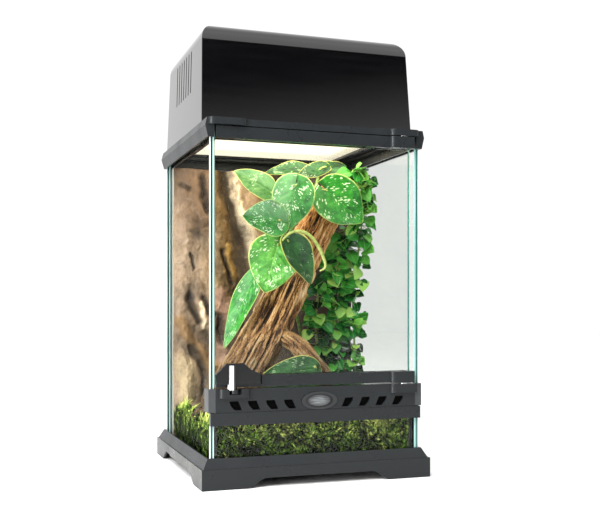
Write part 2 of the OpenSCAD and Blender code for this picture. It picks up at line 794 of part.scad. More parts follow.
// Woven mesh: one layer of wires along Y and one along X on it, held down by the spline
module screen_mesh() color("#4a4d4f") {
  g = 0.3;
  z0 = screen_z + screen_h * 0.45;
  layer = (mesh_t - run_gap) / 2;
  x = window_x + rebate_w - g;
  y0 = window_front - rebate_w + g;
  y1 = window_back + rebate_w - g;
  for (i = [0:mesh_n]) {
    at = 1 + i * (2 * window_x - 2) / mesh_n - window_x;
    span([at - wire_w / 2, y0, z0], [at + wire_w / 2, y1, z0 + layer]);
    along = window_front + 1 + i * (window_back - window_front - 2) / mesh_n;
    span([-x, along - wire_w / 2, z0 + mesh_t - layer], [x, along + wire_w / 2, z0 + mesh_t]);
  }
}

module screen_spline() color("#1c1d1e") {
  g = 0.3;
  z0 = screen_z + screen_h * 0.45 + mesh_t;
  difference() {
    span([-window_x - rebate_w + g, window_front - rebate_w + g, z0],
         [window_x + rebate_w - g, window_back + rebate_w - g, screen_z + screen_h - 0.4]);
    span([-window_x - 0.8, window_front - 0.8, z0 - 1], [window_x + 0.8, window_back + 0.8, z0 + past]);
  }
}

// ---------- hood ----------

// Upright profile with leaning sides and rounded top corners; half widths below and above
module loaf(b, t, h, r) {
  l = norm([b - t, h]);
  cz = h - r;
  cx = b + ((t - b) * cz - r * l) / h;
  out = [h / l, (b - t) / l];
  foot = [cx + r * out[0], cz + r * out[1]];
  polygon([[-b, 0], [b, 0], foot, [cx, h], [-cx, h], [-foot[0], foot[1]]]);
  for (s = [-1, 1]) translate([s * cx, cz]) circle(r);
}

// Solid hood body, drawn in from the outside by t
module hood_body(t) {
  h = hood_h - t;
  intersection() {
    translate([0, 0, hood_z]) along_y(hood_front + t * 0.9, hood_back - t * 0.9)
      loaf(hood_half - t, hood_half - t - side_draft, h, side_r - t);
    translate([0, hood_mid, hood_z]) along_x(-hood_half, hood_half)
      loaf(hood_d / 2 - t, hood_d / 2 - t - end_draft, h, front_r - t);
  }
}

// Corner posts that take the tray screws
screw_spots = [for (x = [-1, 1], y = [hood_front + 12, hood_back - 12]) [x * (hood_half - 7), y]];

module hood_shell() color("#0d0e0f") difference() {
  union() {
    difference() {
      hood_body(0);
      translate([0, 0, -eps]) hood_body(hood_t);
      for (s = [0, 1], i = [0:louvres - 1]) mirror([s, 0, 0])
        translate([0, hood_mid + louvre_back + (i - (louvres - 1) / 2) * louvre_pitch, 0])
          span([hood_half - hood_t - side_draft - 4, -louvre_w / 2, louvre_top - louvre_h],
               [hood_half + past, louvre_w / 2, louvre_top]);
    }
    intersection() {
      hood_body(0);
      for (p = screw_spots) translate([p[0], p[1], tray_top]) cylinder(r = 5, h = 20);
    }
    // flat pads behind the gland and the switch
    translate([gland_x, boss_y - 8, gland_z]) rotate([-90, 0, 0]) cylinder(r = 9, h = 8);
    span([switch_x - rocker_w / 2 - 5, boss_y - 8, switch_z - rocker_h / 2 - 5],
         [switch_x + rocker_w / 2 + 5, boss_y, switch_z + rocker_h / 2 + 5]);
  }
  for (p = screw_spots) translate([p[0], p[1], tray_top - 1]) cylinder(r = screw_r + fit_gap, h = 14);
  translate([gland_x, boss_y - past, gland_z]) rotate([-90, 0, 0]) cylinder(r = gland_r + 2.6, h = 2 * past);
  span([switch_x - rocker_w / 2 - 1.6, boss_y - past, switch_z - rocker_h / 2 - 1.6],
       [switch_x + rocker_w / 2 + 1.6, boss_y + past, switch_z + rocker_h / 2 + 1.6]);
}

module hood_tray() color("#1a1b1c") {
  g = 0.4;
  difference() {
    span([-hood_half + hood_t + g + 0.2, hood_front + hood_t + g + 0.4, tray_z],
         [hood_half - hood_t - g - 0.2, hood_back - hood_t - g - 0.4, tray_top]);
    span([-window_x, window_front, tray_z - 1], [window_x, window_back, tray_top + 1]);
    span([-window_x - opal_lap - seat_gap, window_front - opal_lap - seat_gap, tray_top - opal_t],
         [window_x + opal_lap + seat_gap, window_back + opal_lap + seat_gap, tray_top + 1]);
    for (p = screw_spots) translate([p[0], p[1], tray_z - 1]) cylinder(r = screw_r + 0.2, h = tray_t + 2);
  }
}

module diffuser() color([0.97, 0.95, 0.88, 0.8])
  span([-window_x - opal_lap, window_front - opal_lap, tray_top - opal_t],
       [window_x + opal_lap, window_back + opal_lap, tray_top]);

// Trough of folded sheet, open below: half sizes at the foot less the slope towards the top
module trough(t) {
  fx = window_x + 6 - t;
  fd = (window_back - window_front) / 2 + 4.4 - t;
  mid = (window_back + window_front) / 2;
  h = reflector_h - t;
  slope = 32;
  translate([0, mid, tray_top]) intersection() {
    along_y(-fd, fd) polygon([[-fx, 0], [fx, 0], [fx - slope / 3, h], [-fx + slope / 3, h]]);
    along_x(-fx, fx) polygon([[-fd, 0], [fd, 0], [fd - slope, h], [-fd + slope, h]]);
  }
}

module reflector() color("#d8dadb") difference() {
  trough(0);
  translate([0, 0, -eps]) trough(sheet_t);
  translate([-window_x - past, lamp_y, lamp_z]) rotate([0, 90, 0]) cylinder(r = cap_r + 2.5, h = 2 * past);
}

// Socket on an upright bracket
module lamp_holder() color("#e4e2dc") translate([holder_x, lamp_y, 0]) difference() {
  union() {
    translate([2.2, 0, lamp_z]) rotate([0, 90, 0]) cylinder(r = cap_r + 2, h = holder_l);
    span([0, -cap_r, tray_top], [2.4, cap_r, lamp_z + cap_r]);
    span([0, -cap_r, tray_top], [5.4, cap_r, tray_top + 2]);
  }
  translate([holder_cap, 0, lamp_z]) rotate([0, 90, 0]) cylinder(r = cap_r + 0.3, h = holder_l);
}

// Lamp: screw cap, neck and glass, turned about its own axis
module lamp() color("#f4f1e6") translate([holder_x + holder_cap, lamp_y, lamp_z]) rotate([0, 90, 0]) {
  cap_l = 24;
  neck_l = 16;
  dome_z = cap_l + neck_l + lamp_l - lamp_r;
  rotate_extrude() polygon([[0, 0], [cap_r, 0], [cap_r, cap_l], [cap_r - 1, cap_l], [lamp_r, cap_l + neck_l],
                            [lamp_r, dome_z], [0, dome_z]]);
  translate([0, 0, dome_z]) sphere(lamp_r);
}

module ballast_box() color("#f0efe9")
  translate([ballast_x, (window_back + window_front) / 2, 0])
    block(ballast_l, ballast_w, tray_top + reflector_h, tray_top + reflector_h + ballast_h);

module hood_screws() color(steel_col)
  for (p = screw_spots) translate([p[0], p[1], 0]) {
    translate([0, 0, tray_z - screw_head]) cylinder(r = 2 * screw_r, h = screw_head);
    translate([0, 0, tray_z - eps]) cylinder(r = screw_r, h = screw_l);
  }

module lead_gland() color("#18191a") translate([gland_x, boss_y, gland_z]) rotate([-90, 0, 0])
  difference() {
    union() {
      translate([0, 0, 4 - gland_l]) cylinder(r = gland_r + 2.5, h = gland_l);
      cylinder(r = gland_r + 4.5, h = 3);
    }
    translate([0, 0, -past]) cylinder(r = gland_r, h = 2 * past);
  }

module switch_body() color("#18191a") translate([switch_x, boss_y, switch_z]) difference() {
  union() {
    span([-rocker_w / 2 - 3.6, 0, -rocker_h / 2 - 3.6], [rocker_w / 2 + 3.6, 1.8, rocker_h / 2 + 3.6]);
    span([-rocker_w / 2 - 1.4, -13, -rocker_h / 2 - 1.4], [rocker_w / 2 + 1.4, eps, rocker_h / 2 + 1.4]);
  }
  span([-rocker_w / 2, -11.6, -rocker_h / 2], [rocker_w / 2, past, rocker_h / 2]);
  translate([-rocker_w / 2 - 1, -2.6, 0]) rotate([0, 90, 0]) cylinder(r = 1.2 + run_gap, h = rocker_w + 2);
}

// Rocker in its "on" tilt, with a trunnion at each side
module switch_rocker() color("#b3261e") translate([switch_x, boss_y - 2.6, switch_z]) {
  z = rocker_h / 2 - 1.1;
  rotate([rocker_tilt, 0, 0]) along_x(-rocker_w / 2 + 0.3, rocker_w / 2 - 0.3)
    polygon([[-4, -z * 0.5], [-4, z * 0.5], [0, z], [5.2, z], [3.4, 0], [5.2, -z], [0, -z]]);
  translate([-rocker_w / 2 - 0.8, 0, 0]) rotate([0, 90, 0]) cylinder(r = 1.2, h = rocker_w + 1.6);
}

// ---------- planting ----------

// The planting is drawn for a tank of this inner half width, and follows the real one
drawn_half = 96;
function planted(p) = [p[0] * ix / drawn_half, p[1] * iy / drawn_half, p[2]];

floor_in = floor_z + glass_t;
soil_top = floor_in + soil_h;
moss_top = soil_top + moss_t;

// Faces of a closed loft of rings, each with n points, with flat ends
function loft_faces(rings, n) = concat(
  [[for (i = [0:n - 1]) i]],
  [for (r = [0:rings - 2], i = [0:n - 1]) [r * n + i, (r + 1) * n + i, (r + 1) * n + (i + 1) % n]],
  [for (r = [0:rings - 2], i = [0:n - 1]) [r * n + i, (r + 1) * n + (i + 1) % n, r * n + (i + 1) % n]],
  [[for (i = [n - 1:-1:0]) (rings - 1) * n + i]]);

// Relief of the foam background: thickness at a place, u and v from 0 to 1
function rock_depth(u, v) = rock_t + rock_bulge * ease((u - 0.45) / 0.5)
  + 2.6 * sin(360 * (1.3 * u + 0.55 * sin(170 * v))) + 2.2 * sin(900 * v + 260 * u)
  + 1.8 * sin(700 * u - 540 * v);

module rock_background() color("#9a7f5e") {
  nu = 22;
  nv = 30;
  w = 2 * in_x;
  z0 = floor_in + seat_gap;
  h = frame_z - z0 - 1;
  back = in_y;
  slot = bead_leg + 0.6;
  // each row runs over the front from left to right; the flat back closes it
  us = [for (i = [0:nu]) i / nu];
  rows = [for (j = [0:nv]) concat(
    [for (u = us) [-w / 2 + w * u, back - max(slot + 1, rock_depth(u, j / nv)), z0 + h * j / nv]],
    [[w / 2, back - slot, z0 + h * j / nv], [w / 2 - slot, back, z0 + h * j / nv],
     [-w / 2 + slot, back, z0 + h * j / nv], [-w / 2, back - slot, z0 + h * j / nv]])];
  n = nu + 5;
  polyhedron([for (r = rows) for (p = r) p], loft_faces(nv + 1, n), convexity = 6);
}

// Where the soil and moss end behind: just in front of the rock's foot, at a place across the tank
function bed_back(x) = in_y - 0.4
  - max([for (v = [0:0.03:0.18]) max(bead_leg + 1.6, rock_depth((x + in_x) / 2 / in_x, v))]);
bed_n = 18;
function bed_x(i) = in_x * (2 * i / bed_n - 1);

module substrate() color("#1d2016") translate([0, 0, floor_in]) linear_extrude(soil_h)
  polygon(concat([for (i = [0:bed_n]) [bed_x(i), bed_back(bed_x(i))]],
                 [for (s = [1, -1]) [s * in_x, -iy + moss_front + seat_gap]]));

// Height of the moss: low bumps and a mound along the left pane, flat round the driftwood's foot
foot_x = -66 * ix / drawn_half;
foot_y = -20 * iy / drawn_half;
function moss_z(x, y) = moss_top + (2.2 * sin(9 * x + 40) * cos(8 * y) + 1.4 * sin(17 * y - 11 * x)
  + 9 * exp(-pow((x + 92) / 16, 2) - pow((y - 22) / 26, 2)))
  * (1 - exp(-pow(norm([x - foot_x, y - foot_y]) / 40, 6)));
// Underside of the moss: on the soil, or down the front of it
function moss_low(y) = y > -iy + moss_front ? soil_top + 0.1 : floor_in + 2;
// Height at which a stem of radius r stands on the moss
function stand_z(x, y, r) = seat_gap + 0.7
  + max([for (k = [0:7]) moss_z(x + r * cos(45 * k), y + r * sin(45 * k))]);

// Faces of a closed slab between two grids of m rows and n columns, the upper one first
function slab_faces(m, n) = let (q = m * n) concat(
  [for (j = [0:m - 2], i = [0:n - 2]) let (a = j * n + i)
    each [[a, a + n, a + n + 1], [a, a + n + 1, a + 1]]],
  [for (j = [0:m - 2], i = [0:n - 2]) let (a = q + j * n + i)
    each [[a, a + n + 1, a + n], [a, a + 1, a + n + 1]]],
  [for (i = [0:n - 2]) let (a = i) each [[a, a + 1, a + q + 1], [a, a + q + 1, a + q]]],
  [for (i = [0:n - 2]) let (a = (m - 1) * n + i) each [[a, a + q + 1, a + 1], [a, a + q, a + q + 1]]],
  [for (j = [0:m - 2]) let (a = j * n) each [[a, a + q, a + q + n], [a, a + q + n, a + n]]],
  [for (j = [0:m - 2]) let (a = j * n + n - 1) each [[a, a + q + n, a + q], [a, a + n, a + q + n]]]);

module moss_bed() color("#6f8f2e") {
  step_y = -iy + moss_front;
  heads = [-iy + seat_gap, step_y - 4, step_y, step_y + 0.1];
  rows = 15;
  // depth of row j at x: the first rows cover the soil's front, the others run back to the rock
  ys = [for (j = [0:rows + 3]) [for (i = [0:bed_n]) j < 4 ? heads[j]
    : heads[3] + (bed_back(bed_x(i)) - heads[3]) * (j - 3) / rows]];
  grid = [for (j = [0:rows + 3], i = [0:bed_n]) [bed_x(i), ys[j][i], 0]];
  polyhedron(concat([for (g = grid) [g[0], g[1], moss_z(g[0], g[1])]],
                    [for (g = grid) [g[0], g[1], moss_low(g[1])]]),
             slab_faces(rows + 4, bed_n + 1), convexity = 6);
}

// Driftwood: centre and half width at rising heights, leaning from the lower left to the upper right
drawn_wood = 19;
wood_path = [[-66, -20, 0, 21], [-58, -17, 26, 22], [-34, -9, 62, 22], [-4, 0, 112, 19],
             [24, 7, 165, 17], [44, 12, 200, 16], [58, 18, 226, 14], [68, 30, 240, 8]];
function lerp_row(a, b, t) = a + (b - a) * t;
function wood_at(t) = let (n = len(wood_path) - 1, k = min(n - 1, floor(t * n)))
  lerp_row(wood_path[k], wood_path[k + 1], t * n - k);

module driftwood() color("#a8683a") {
  sides = 20;
  levels = 28;
  z0 = moss_top + seat_gap;
  rings = [for (j = [0:levels]) let (w = wood_at(j / levels), c = planted(w)) [for (i = [0:sides - 1])
    let (a = 360 * i / sides, t = j / levels, r = w[3] * wood_r / drawn_wood
           * (1 + 0.07 * sin(5 * a + 300 * t) + 0.06 * sin(9 * a - 200 * t)))
    c + [1.12 * r * cos(a), 0.8 * r * sin(a), z0]]];
  polyhedron([for (r = rings) for (p = r) p],
             loft_faces(levels + 1, sides));
}

// Tube along a route of points
function unit(v) = v / norm(v);
function side_of(d) = unit(cross(d, abs(d[1]) < 0.9 ? [0, 1, 0] : [1, 0, 0]));
function tube_points(route, r, n) = [for (i = [0:len(route) - 1])
  let (d = unit(route[min(i + 1, len(route) - 1)] - route[max(i - 1, 0)]), s = side_of(d), t = cross(d, s))
  for (k = [0:n - 1]) route[i] + r * (cos(360 * k / n) * s + sin(360 * k / n) * t)];
module tube(route, r, n = 6)
  polyhedron(tube_points(route, r, n), loft_faces(len(route), n));

// Points on a bent line from a to b, bowed by c in the middle
function bend(a, b, c, t) = a + (b - a) * t + c * 4 * t * (1 - t);

// Satin vine: up from the soil behind the driftwood, over its head and down in front
vine_route = [[30, 34, 0], [30, 34, 6], [34, 33, 50], [22, 34, 110], [4, 34, 160], [2, 32, 205],
              [16, 22, 237], [34, -2, 243], [28, -10, 222], [12, -9, 196], [-2, -9, 172], [-16, -12, 150]];
vine_foot = stand_z(planted(vine_route[0])[0], planted(vine_route[0])[1], vine_r);
function vine_point(k) = planted(vine_route[k]) + [0, 0, vine_foot];
module vine_stem() color("#7d9a4a")
  tube([for (k = [0:len(vine_route) - 1]) vine_point(k)], vine_r, 8);

// Big leaves: [vine point, stalk end, blade length, half width, tip direction, face direction]
leaf_rows = [
  [6, [-12, 8, 231], 44, 15, [-0.85, -0.15, 0.5], [-0.15, -1, 0.15]],
  [8, [14, -29, 223], 52, 23, [-0.1, 0.1, -1], [-0.3, -1, 0.25]],
  [9, [-8, -20, 192], 46, 21, [-0.5, -0.1, -0.85], [-0.2, -1, -0.1]],
  [10, [-14, -42, 168], 60, 27, [-0.25, 0.05, -1], [-0.3, -1, 0.2]],
  [7, [52, -18, 232], 50, 25, [0.75, 0.0, -0.7], [0.0, -1, 0.2]],
  [10, [14, -24, 160], 42, 17, [0.35, -0.1, -0.95], [0.35, -1, -0.1]],
  [11, [-38, -13, 132], 74, 13, [-0.42, -0.12, -0.9], [-0.75, -0.85, 0.1]],
  [7, [30, 8, 250], 34, 11, [-0.8, 0.2, 0.05], [0, -0.6, 0.9]]];

// Leaf with its stalk as one closed loft: rings of n points that open from a stalk into a blade
module leaf(root, base, length, half, tip, face, stalk = stalk_r, thick = leaf_t, stations = 7, n = 8) {
  s_n = n > 4 ? 4 : 2;
  t_dir = unit(tip);
  side = unit(cross(face, t_dir));
  up = cross(t_dir, side);
  stalk_rings = [for (i = [0:s_n - 1]) let (t = i / s_n, d = unit(lerp_row(unit(base - root), t_dir, t)),
      sd = unit(cross(up, d)), u = cross(d, sd), c = bend(root, base, [0, 0, 2], t))
    [for (k = [0:n - 1]) c + stalk * (cos(360 * k / n) * sd + sin(360 * k / n) * u)]];
  blade_rings = [for (i = [0:stations - 1]) let (t = (i + 0.15) / stations,
      w = half * pow(sin(180 * pow(t, 0.62)), 0.75), back = 0.16 * length * pow(1 - t, 3),
      c = base + t_dir * length * t - up * length * 0.12 * t * t)
    [for (k = [0:n - 1]) let (s = cos(360 * k / n))
      c + side * w * s - t_dir * back * s * s + up * (0.16 * w * s * s + thick / 2 * sin(360 * k / n))]];
  tip_ring = [[for (k = [0:n - 1]) base + t_dir * length - up * length * 0.12
      + 0.3 * (cos(360 * k / n) * side + sin(360 * k / n) * up)]];
  rings = concat(stalk_rings, blade_rings, tip_ring);
  polyhedron([for (r = rings) for (p = r) p], loft_faces(len(rings), n), convexity = 4);
}

module satin_leaves() color("#4caf35")
  for (row = leaf_rows)
    let (from = vine_point(row[0]), base = planted(row[1]) + [0, 0, vine_foot],
         clear = row[0] == len(vine_route) - 1 ? seat_gap + 0.4 : vine_r + seat_gap + 0.6)
      leaf(from + unit(base - from) * clear, base, row[2], row[3], row[4], row[5]);

// Creeper: stems that climb the right-hand corner, measured from the right pane
creeper_routes = [
  [[-9, 34, 0], [-9, 34, 5], [-7, 30, 60], [-10, 26, 120], [-7, 14, 180], [-9, 0, 222]],
  [[-27, 30, 0], [-27, 30, 5], [-30, 34, 50], [-25, 30, 105], [-28, 26, 150], [-22, 20, 190]],
  [[-50, 26, 0], [-50, 26, 5], [-46, 32, 45], [-52, 28, 90], [-47, 30, 130]]];
creeper_r = 1.1;
function creeper_foot(r) = stand_z(ix + r[0][0], r[0][1], creeper_r);
function creeper_path(r) = [for (p = r) p + [ix, 0, creeper_foot(r)]];
module creeper_stems() color("#8fa35a") for (r = creeper_routes) tube(creeper_path(r), creeper_r);

// Leaves set in turn round each stem at even steps
creeper_counts = [15, 12, 8];
module creeper_leaves() color("#3f9a38") for (c = [0:len(creeper_routes) - 1])
  let (path = creeper_path(creeper_routes[c]), n = len(path) - 1, count = creeper_counts[c])
    for (i = [1:count])
      let (t = 1 + (i + 0.3) / (count + 1.3) * (n - 1), turn = 218 + 50 * sin(137 * i),
           out = unit([cos(turn), sin(turn), 0.2]),
           root = lerp_row(path[floor(t)], path[floor(t) + 1], t - floor(t)) + out * (creeper_r + seat_gap))
        leaf(root, root + 2.5 * out, creeper_leaf, creeper_leaf * 0.36,
             [out[0], out[1], -0.5 + 0.4 * sin(61 * i)], [0.3 * sin(31 * i), -0.6, 1], 0.5, 0.6, 3, 4);

base_frame();
bottom_glass();
left_glass();
right_glass();
back_glass();
front_glass();
silicone_seams();
vent_bar();
vent_mesh();
badge();
vent_bar_clips();
lower_hinge_pin();
door_glass();
door_bottom_rail();
door_top_rail();
latch_knob();
latch_cam();
top_frame();
upper_hinge_pin();
inlet_slider_left();
inlet_slider_right();
screen_frame();
screen_mesh();
screen_spline();
hood_shell();
hood_tray();
diffuser();
reflector();
lamp_holder();
lamp();
ballast_box();
hood_screws();
lead_gland();
switch_body();
switch_rocker();
rock_background();
substrate();
moss_bed();
driftwood();
vine_stem();
satin_leaves();
creeper_stems();
creeper_leaves();
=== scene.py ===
import math
import random

import bpy
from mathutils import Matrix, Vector, noise


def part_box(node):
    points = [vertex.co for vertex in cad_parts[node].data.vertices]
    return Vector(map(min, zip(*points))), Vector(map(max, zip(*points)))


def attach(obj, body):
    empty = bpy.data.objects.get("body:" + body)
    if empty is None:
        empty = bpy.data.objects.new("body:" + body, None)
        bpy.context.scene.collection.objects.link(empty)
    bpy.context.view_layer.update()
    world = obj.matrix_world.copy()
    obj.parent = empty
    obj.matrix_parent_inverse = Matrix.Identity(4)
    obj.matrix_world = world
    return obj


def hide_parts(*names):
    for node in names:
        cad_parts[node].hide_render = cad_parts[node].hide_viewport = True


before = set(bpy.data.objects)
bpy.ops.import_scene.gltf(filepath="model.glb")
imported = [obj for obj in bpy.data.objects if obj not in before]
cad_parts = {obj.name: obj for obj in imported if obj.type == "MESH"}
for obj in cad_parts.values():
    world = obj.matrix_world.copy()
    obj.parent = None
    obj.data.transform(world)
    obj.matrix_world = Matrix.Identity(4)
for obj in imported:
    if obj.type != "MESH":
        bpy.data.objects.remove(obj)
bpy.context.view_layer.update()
scene = bpy.context.scene
mm = 0.001
print("stage 1: the packed frame is in")


# camera, studio and floor

cameraView = {
    "eye": (-284.3, -883.5, 160.1),  # mm, level with the lower third of the door
    "turn": 18.85,  # degrees to the right of straight back
    "lens": 55.38,  # mm on a 36 mm wide sensor
    "shiftUp": 0.069,  # the photograph's centre lies above the horizon
}


def makeCamera(view):
    data = bpy.data.cameras.new("studioCamera")
    data.lens = view["lens"]
    data.sensor_width = 36
    data.shift_y = view["shiftUp"]
    data.clip_start = 0.01
    camera = bpy.data.objects.new("studioCamera", data)
    camera.location = Vector(view["eye"]) * mm
    camera.rotation_euler = (math.radians(90), 0, math.radians(-view["turn"]))
    scene.collection.objects.link(camera)
    scene.camera = camera


def hexColour(code):
    # an sRGB hex code as linear light
    parts = [int(code[i:i + 2], 16) / 255 for i in (1, 3, 5)]
    return [p / 12.92 if p <= 0.04045 else ((p + 0.055) / 1.055) ** 2.4 for p in parts] + [1]


def setNode(node, settings):
    # a key names a socket or its number, an attribute, a ramp's stops or a range's ends; nodes and outputs are linked
    for key, value in settings.items():
        if isinstance(value, bpy.types.Node):
            value = value.outputs[2 if value.bl_idname == "ShaderNodeMix" else 0]
        if isinstance(value, bpy.types.NodeSocket):
            node.id_data.links.new(value, node.inputs[key])
        elif key == "stops":
            ramp = node.color_ramp
            while len(ramp.elements) < len(value):
                ramp.elements.new(0.5)
            for element, (place, colour) in zip(ramp.elements, value):
                element.position = place
                element.color = hexColour(colour) if isinstance(colour, str) else [colour] * 3 + [1]
        elif key in ("From", "To"):
            node.inputs[f"{key} Min"].default_value, node.inputs[f"{key} Max"].default_value = value
        elif isinstance(key, int) or key in node.inputs:
            node.inputs[key].default_value = hexColour(value) if isinstance(value, str) else value
        else:
            setattr(node, key, value)
    return node


def addNode(tree, kind, settings={}):
    return setNode(tree.nodes.new("ShaderNode" + kind), settings)


def per(*sizes):
    # repeats in a metre of a pattern's sizes in mm
    repeats = [1 / (size * mm) for size in sizes]
    return repeats if len(repeats) > 1 else repeats[0]


studio = {
    "backdrop": 1.05,  # light from behind and the sides, as a white sweep gives
    "front": [  # light from the front, from straight below up to overhead
        (0.0, 0.14), (0.17, 0.14),  # dim, so that the panes stay clear
        (0.2, 1.3), (0.3, 1.3),  # grey bank that the lips of the top frame mirror
        (0.355, 0.55), (0.385, 0.22),  # where the foot of the hood's front mirrors it
        (0.407, 0.0), (0.465, 0.0),  # black flag over it
        (0.485, 1.5), (1.0, 1.5),  # softbox overhead, which the hood's rounded edge mirrors
    ],
    "lights": [  # place, aim, width and height in mm, watts, colour if not white
        ("keySoftbox", (-900, -900, 1300), (0, 0, 200), 1100, 1100, 38),
        ("fillSoftbox", (-1300, -700, 350), (0, 0, 200), 500, 500, 6),
        ("stripSoftbox", (-820, -520, 300), (-60, -100, 300), 120, 600, 6),  # the bright line on corners
        ("lampGlow", (0, 2, 317), (0, 2, 0), 140, 140, 0.5, "#fff3dc"),
    ],
}


def makeStudio(look):
    world = bpy.data.worlds.new("whiteStudio")
    world.use_nodes = True
    scene.world = world
    tree = world.node_tree
    tree.nodes.clear()
    axes = addNode(tree, "SeparateXYZ", {0: addNode(tree, "TexCoord").outputs["Generated"]})
    front = addNode(tree, "MapRange", {
        "Value": axes.outputs["Y"], "From": (0.05, -0.35), "interpolation_type": "SMOOTHSTEP"})
    wall = addNode(tree, "ValToRGB", {"Fac": axes.outputs["Z"], "stops": look["front"]})
    sweep = addNode(tree, "Mix", {"data_type": "RGBA", 0: front, 6: [look["backdrop"]] * 3 + [1], 7: wall})
    addNode(tree, "OutputWorld", {"Surface": addNode(tree, "Background", {"Color": sweep})})
    for light in look["lights"]:
        softbox(*light)
    bpy.data.objects["lampGlow"].visible_glossy = False


def softbox(name, at, towards, width, height, watts, colour="#ffffff"):
    data = bpy.data.lights.new(name, "AREA")
    data.shape = "RECTANGLE"
    data.size, data.size_y = width * mm, height * mm
    data.energy = watts
    data.color = hexColour(colour)[:3]
    light = bpy.data.objects.new(name, data)
    light.location = Vector(at) * mm
    light.rotation_euler = (Vector(towards) - Vector(at)).to_track_quat("-Z", "Y").to_euler()
    light.visible_camera = False
    scene.collection.objects.link(light)


def newMaterial(name, **sockets):
    material = bpy.data.materials.new(name)
    material.use_nodes = True
    tree = material.node_tree
    shader = setNode(tree.nodes["Principled BSDF"], {key.replace("_", " "): value for key, value in sockets.items()})
    return material, tree, shader, addNode(tree, "TexCoord").outputs["Object"]


def paintCoats(tree, ground, *coats):
    # each coat: a mask, where on it the coat starts and is full, how much it then covers, its colour, its transition
    for mask, start, full, most, colour, *transition in coats:
        cover = addNode(tree, "MapRange", {
            "Value": mask, "From": (start, full), "To": (0, most), "interpolation_type": (transition or ["LINEAR"])[0]})
        ground = addNode(tree, "Mix", {"data_type": "RGBA", 0: cover, 6: ground, 7: colour})
    return ground


def makeFloor():
    side = 4.0
    mesh = bpy.data.meshes.new("studioFloor")
    mesh.from_pydata([(-side, -side, 0), (side, -side, 0), (side, side, 0), (-side, side, 0)], [], [(0, 1, 2, 3)])
    floor = bpy.data.objects.new("studioFloor", mesh)
    mesh.materials.append(newMaterial("paintedFloor", Base_Color="#f2f2f1", Roughness=0.8)[0])
    scene.collection.objects.link(floor)


makeCamera(cameraView)
makeStudio(studio)
makeFloor()
scene.view_settings.view_transform = "Standard"
print("stage 2: camera, studio and floor")


# materials of the rigid pieces

def mouldedPlastic(name, colour, roughness, grain, bump, sheen=0.5):
    # moulded ABS: a fine spark-eroded grain breaks up the sheen, and handling polishes it in patches
    material, tree, shader, coords = newMaterial(name, IOR=1.53, Specular_IOR_Level=sheen)
    fine = addNode(tree, "TexNoise", {"Vector": coords, "Scale": per(grain), "Detail": 3})
    patch = addNode(tree, "TexNoise", {"Vector": coords, "Scale": per(35), "Detail": 4, "Roughness": 0.6})
    gloss = addNode(tree, "MapRange", {"Value": patch, "From": (0.3, 0.7), "To": (roughness - 0.07, roughness + 0.07)})
    shade = hexColour(colour)
    pale = [min(1, c * 1.25 + 0.004) for c in shade[:3]] + [1]
    tint = addNode(tree, "Mix", {"data_type": "RGBA", 0: patch, 6: shade, 7: pale})
    relief = addNode(tree, "Bump", {"Height": fine, "Strength": bump, "Distance": 0.05 * mm})
    setNode(shader, {"Roughness": gloss, "Base Color": tint, "Normal": relief})
    return material


def glossPlastic():
    # polished black ABS under a clear lacquer: near-mirror, with a few hair-fine wiping marks
    material, tree, shader, coords = newMaterial(
        "polishedHoodAbs", Base_Color="#050506", IOR=1.5, Coat_Weight=0.6, Coat_Roughness=0.02)
    wipe = addNode(tree, "Mapping", {"Vector": coords, "Scale": per(60, 60, 4)})
    marks = addNode(tree, "TexNoise", {"Vector": wipe, "Scale": 1, "Detail": 3})
    gloss = addNode(tree, "MapRange", {"Value": marks, "From": (0.35, 0.75), "To": (0.07, 0.12)})
    setNode(shader, {"Roughness": gloss})
    return material


def floatGlass(name, thinAxis, mirrorShare, edgeColoursAndGlints, glassBack=0.096):
    # float glass: clear through its faces; its polished edges show the glass's own green, and their near-white lines
    # are painted highlights where the arrises catch the light
    material, tree, shader, coords = newMaterial(name, Roughness=0.15, IOR=1.52)
    own = addNode(tree, "VectorTransform", {  # the pane's own sides, also when the door stands open
        0: addNode(tree, "NewGeometry").outputs["True Normal"],
        "vector_type": "NORMAL", "convert_from": "WORLD", "convert_to": "OBJECT"})
    axis = addNode(tree, "SeparateXYZ", {0: own}).outputs[thinAxis]
    facing = addNode(tree, "Math", {0: axis, 1: axis, "operation": "MULTIPLY"})
    place = addNode(tree, "SeparateXYZ", {0: coords}).outputs[thinAxis]
    out = addNode(tree, "Math", {0: place, "operation": "ABSOLUTE"})
    depth = addNode(tree, "MapRange", {"Value": out, "From": (glassBack, glassBack + 0.004)})
    lines = addNode(tree, "ValToRGB", {"Fac": depth, "stops": edgeColoursAndGlints})
    slow = addNode(tree, "TexNoise", {"Vector": coords, "Scale": per(45), "Detail": 2})
    setNode(shader, {"Base Color": paintCoats(tree, lines, (slow, 0.35, 0.65, 0.3, "#2f6d66"))})
    through = addNode(tree, "BsdfTransparent", {"Color": "#f7f8f7"})
    mirror = addNode(tree, "BsdfGlossy", {"Color": "#ffffff", "Roughness": 0.0})
    grazing = addNode(tree, "Fresnel", {"IOR": 1.52})
    share = addNode(tree, "Math", {0: grazing, "operation": "MULTIPLY", 1: mirrorShare})
    pane = addNode(tree, "MixShader", {0: share, 1: through, 2: mirror})
    setNode(tree.nodes["Material Output"], {"Surface": addNode(tree, "MixShader", {0: facing, 1: shader, 2: pane})})
    return material


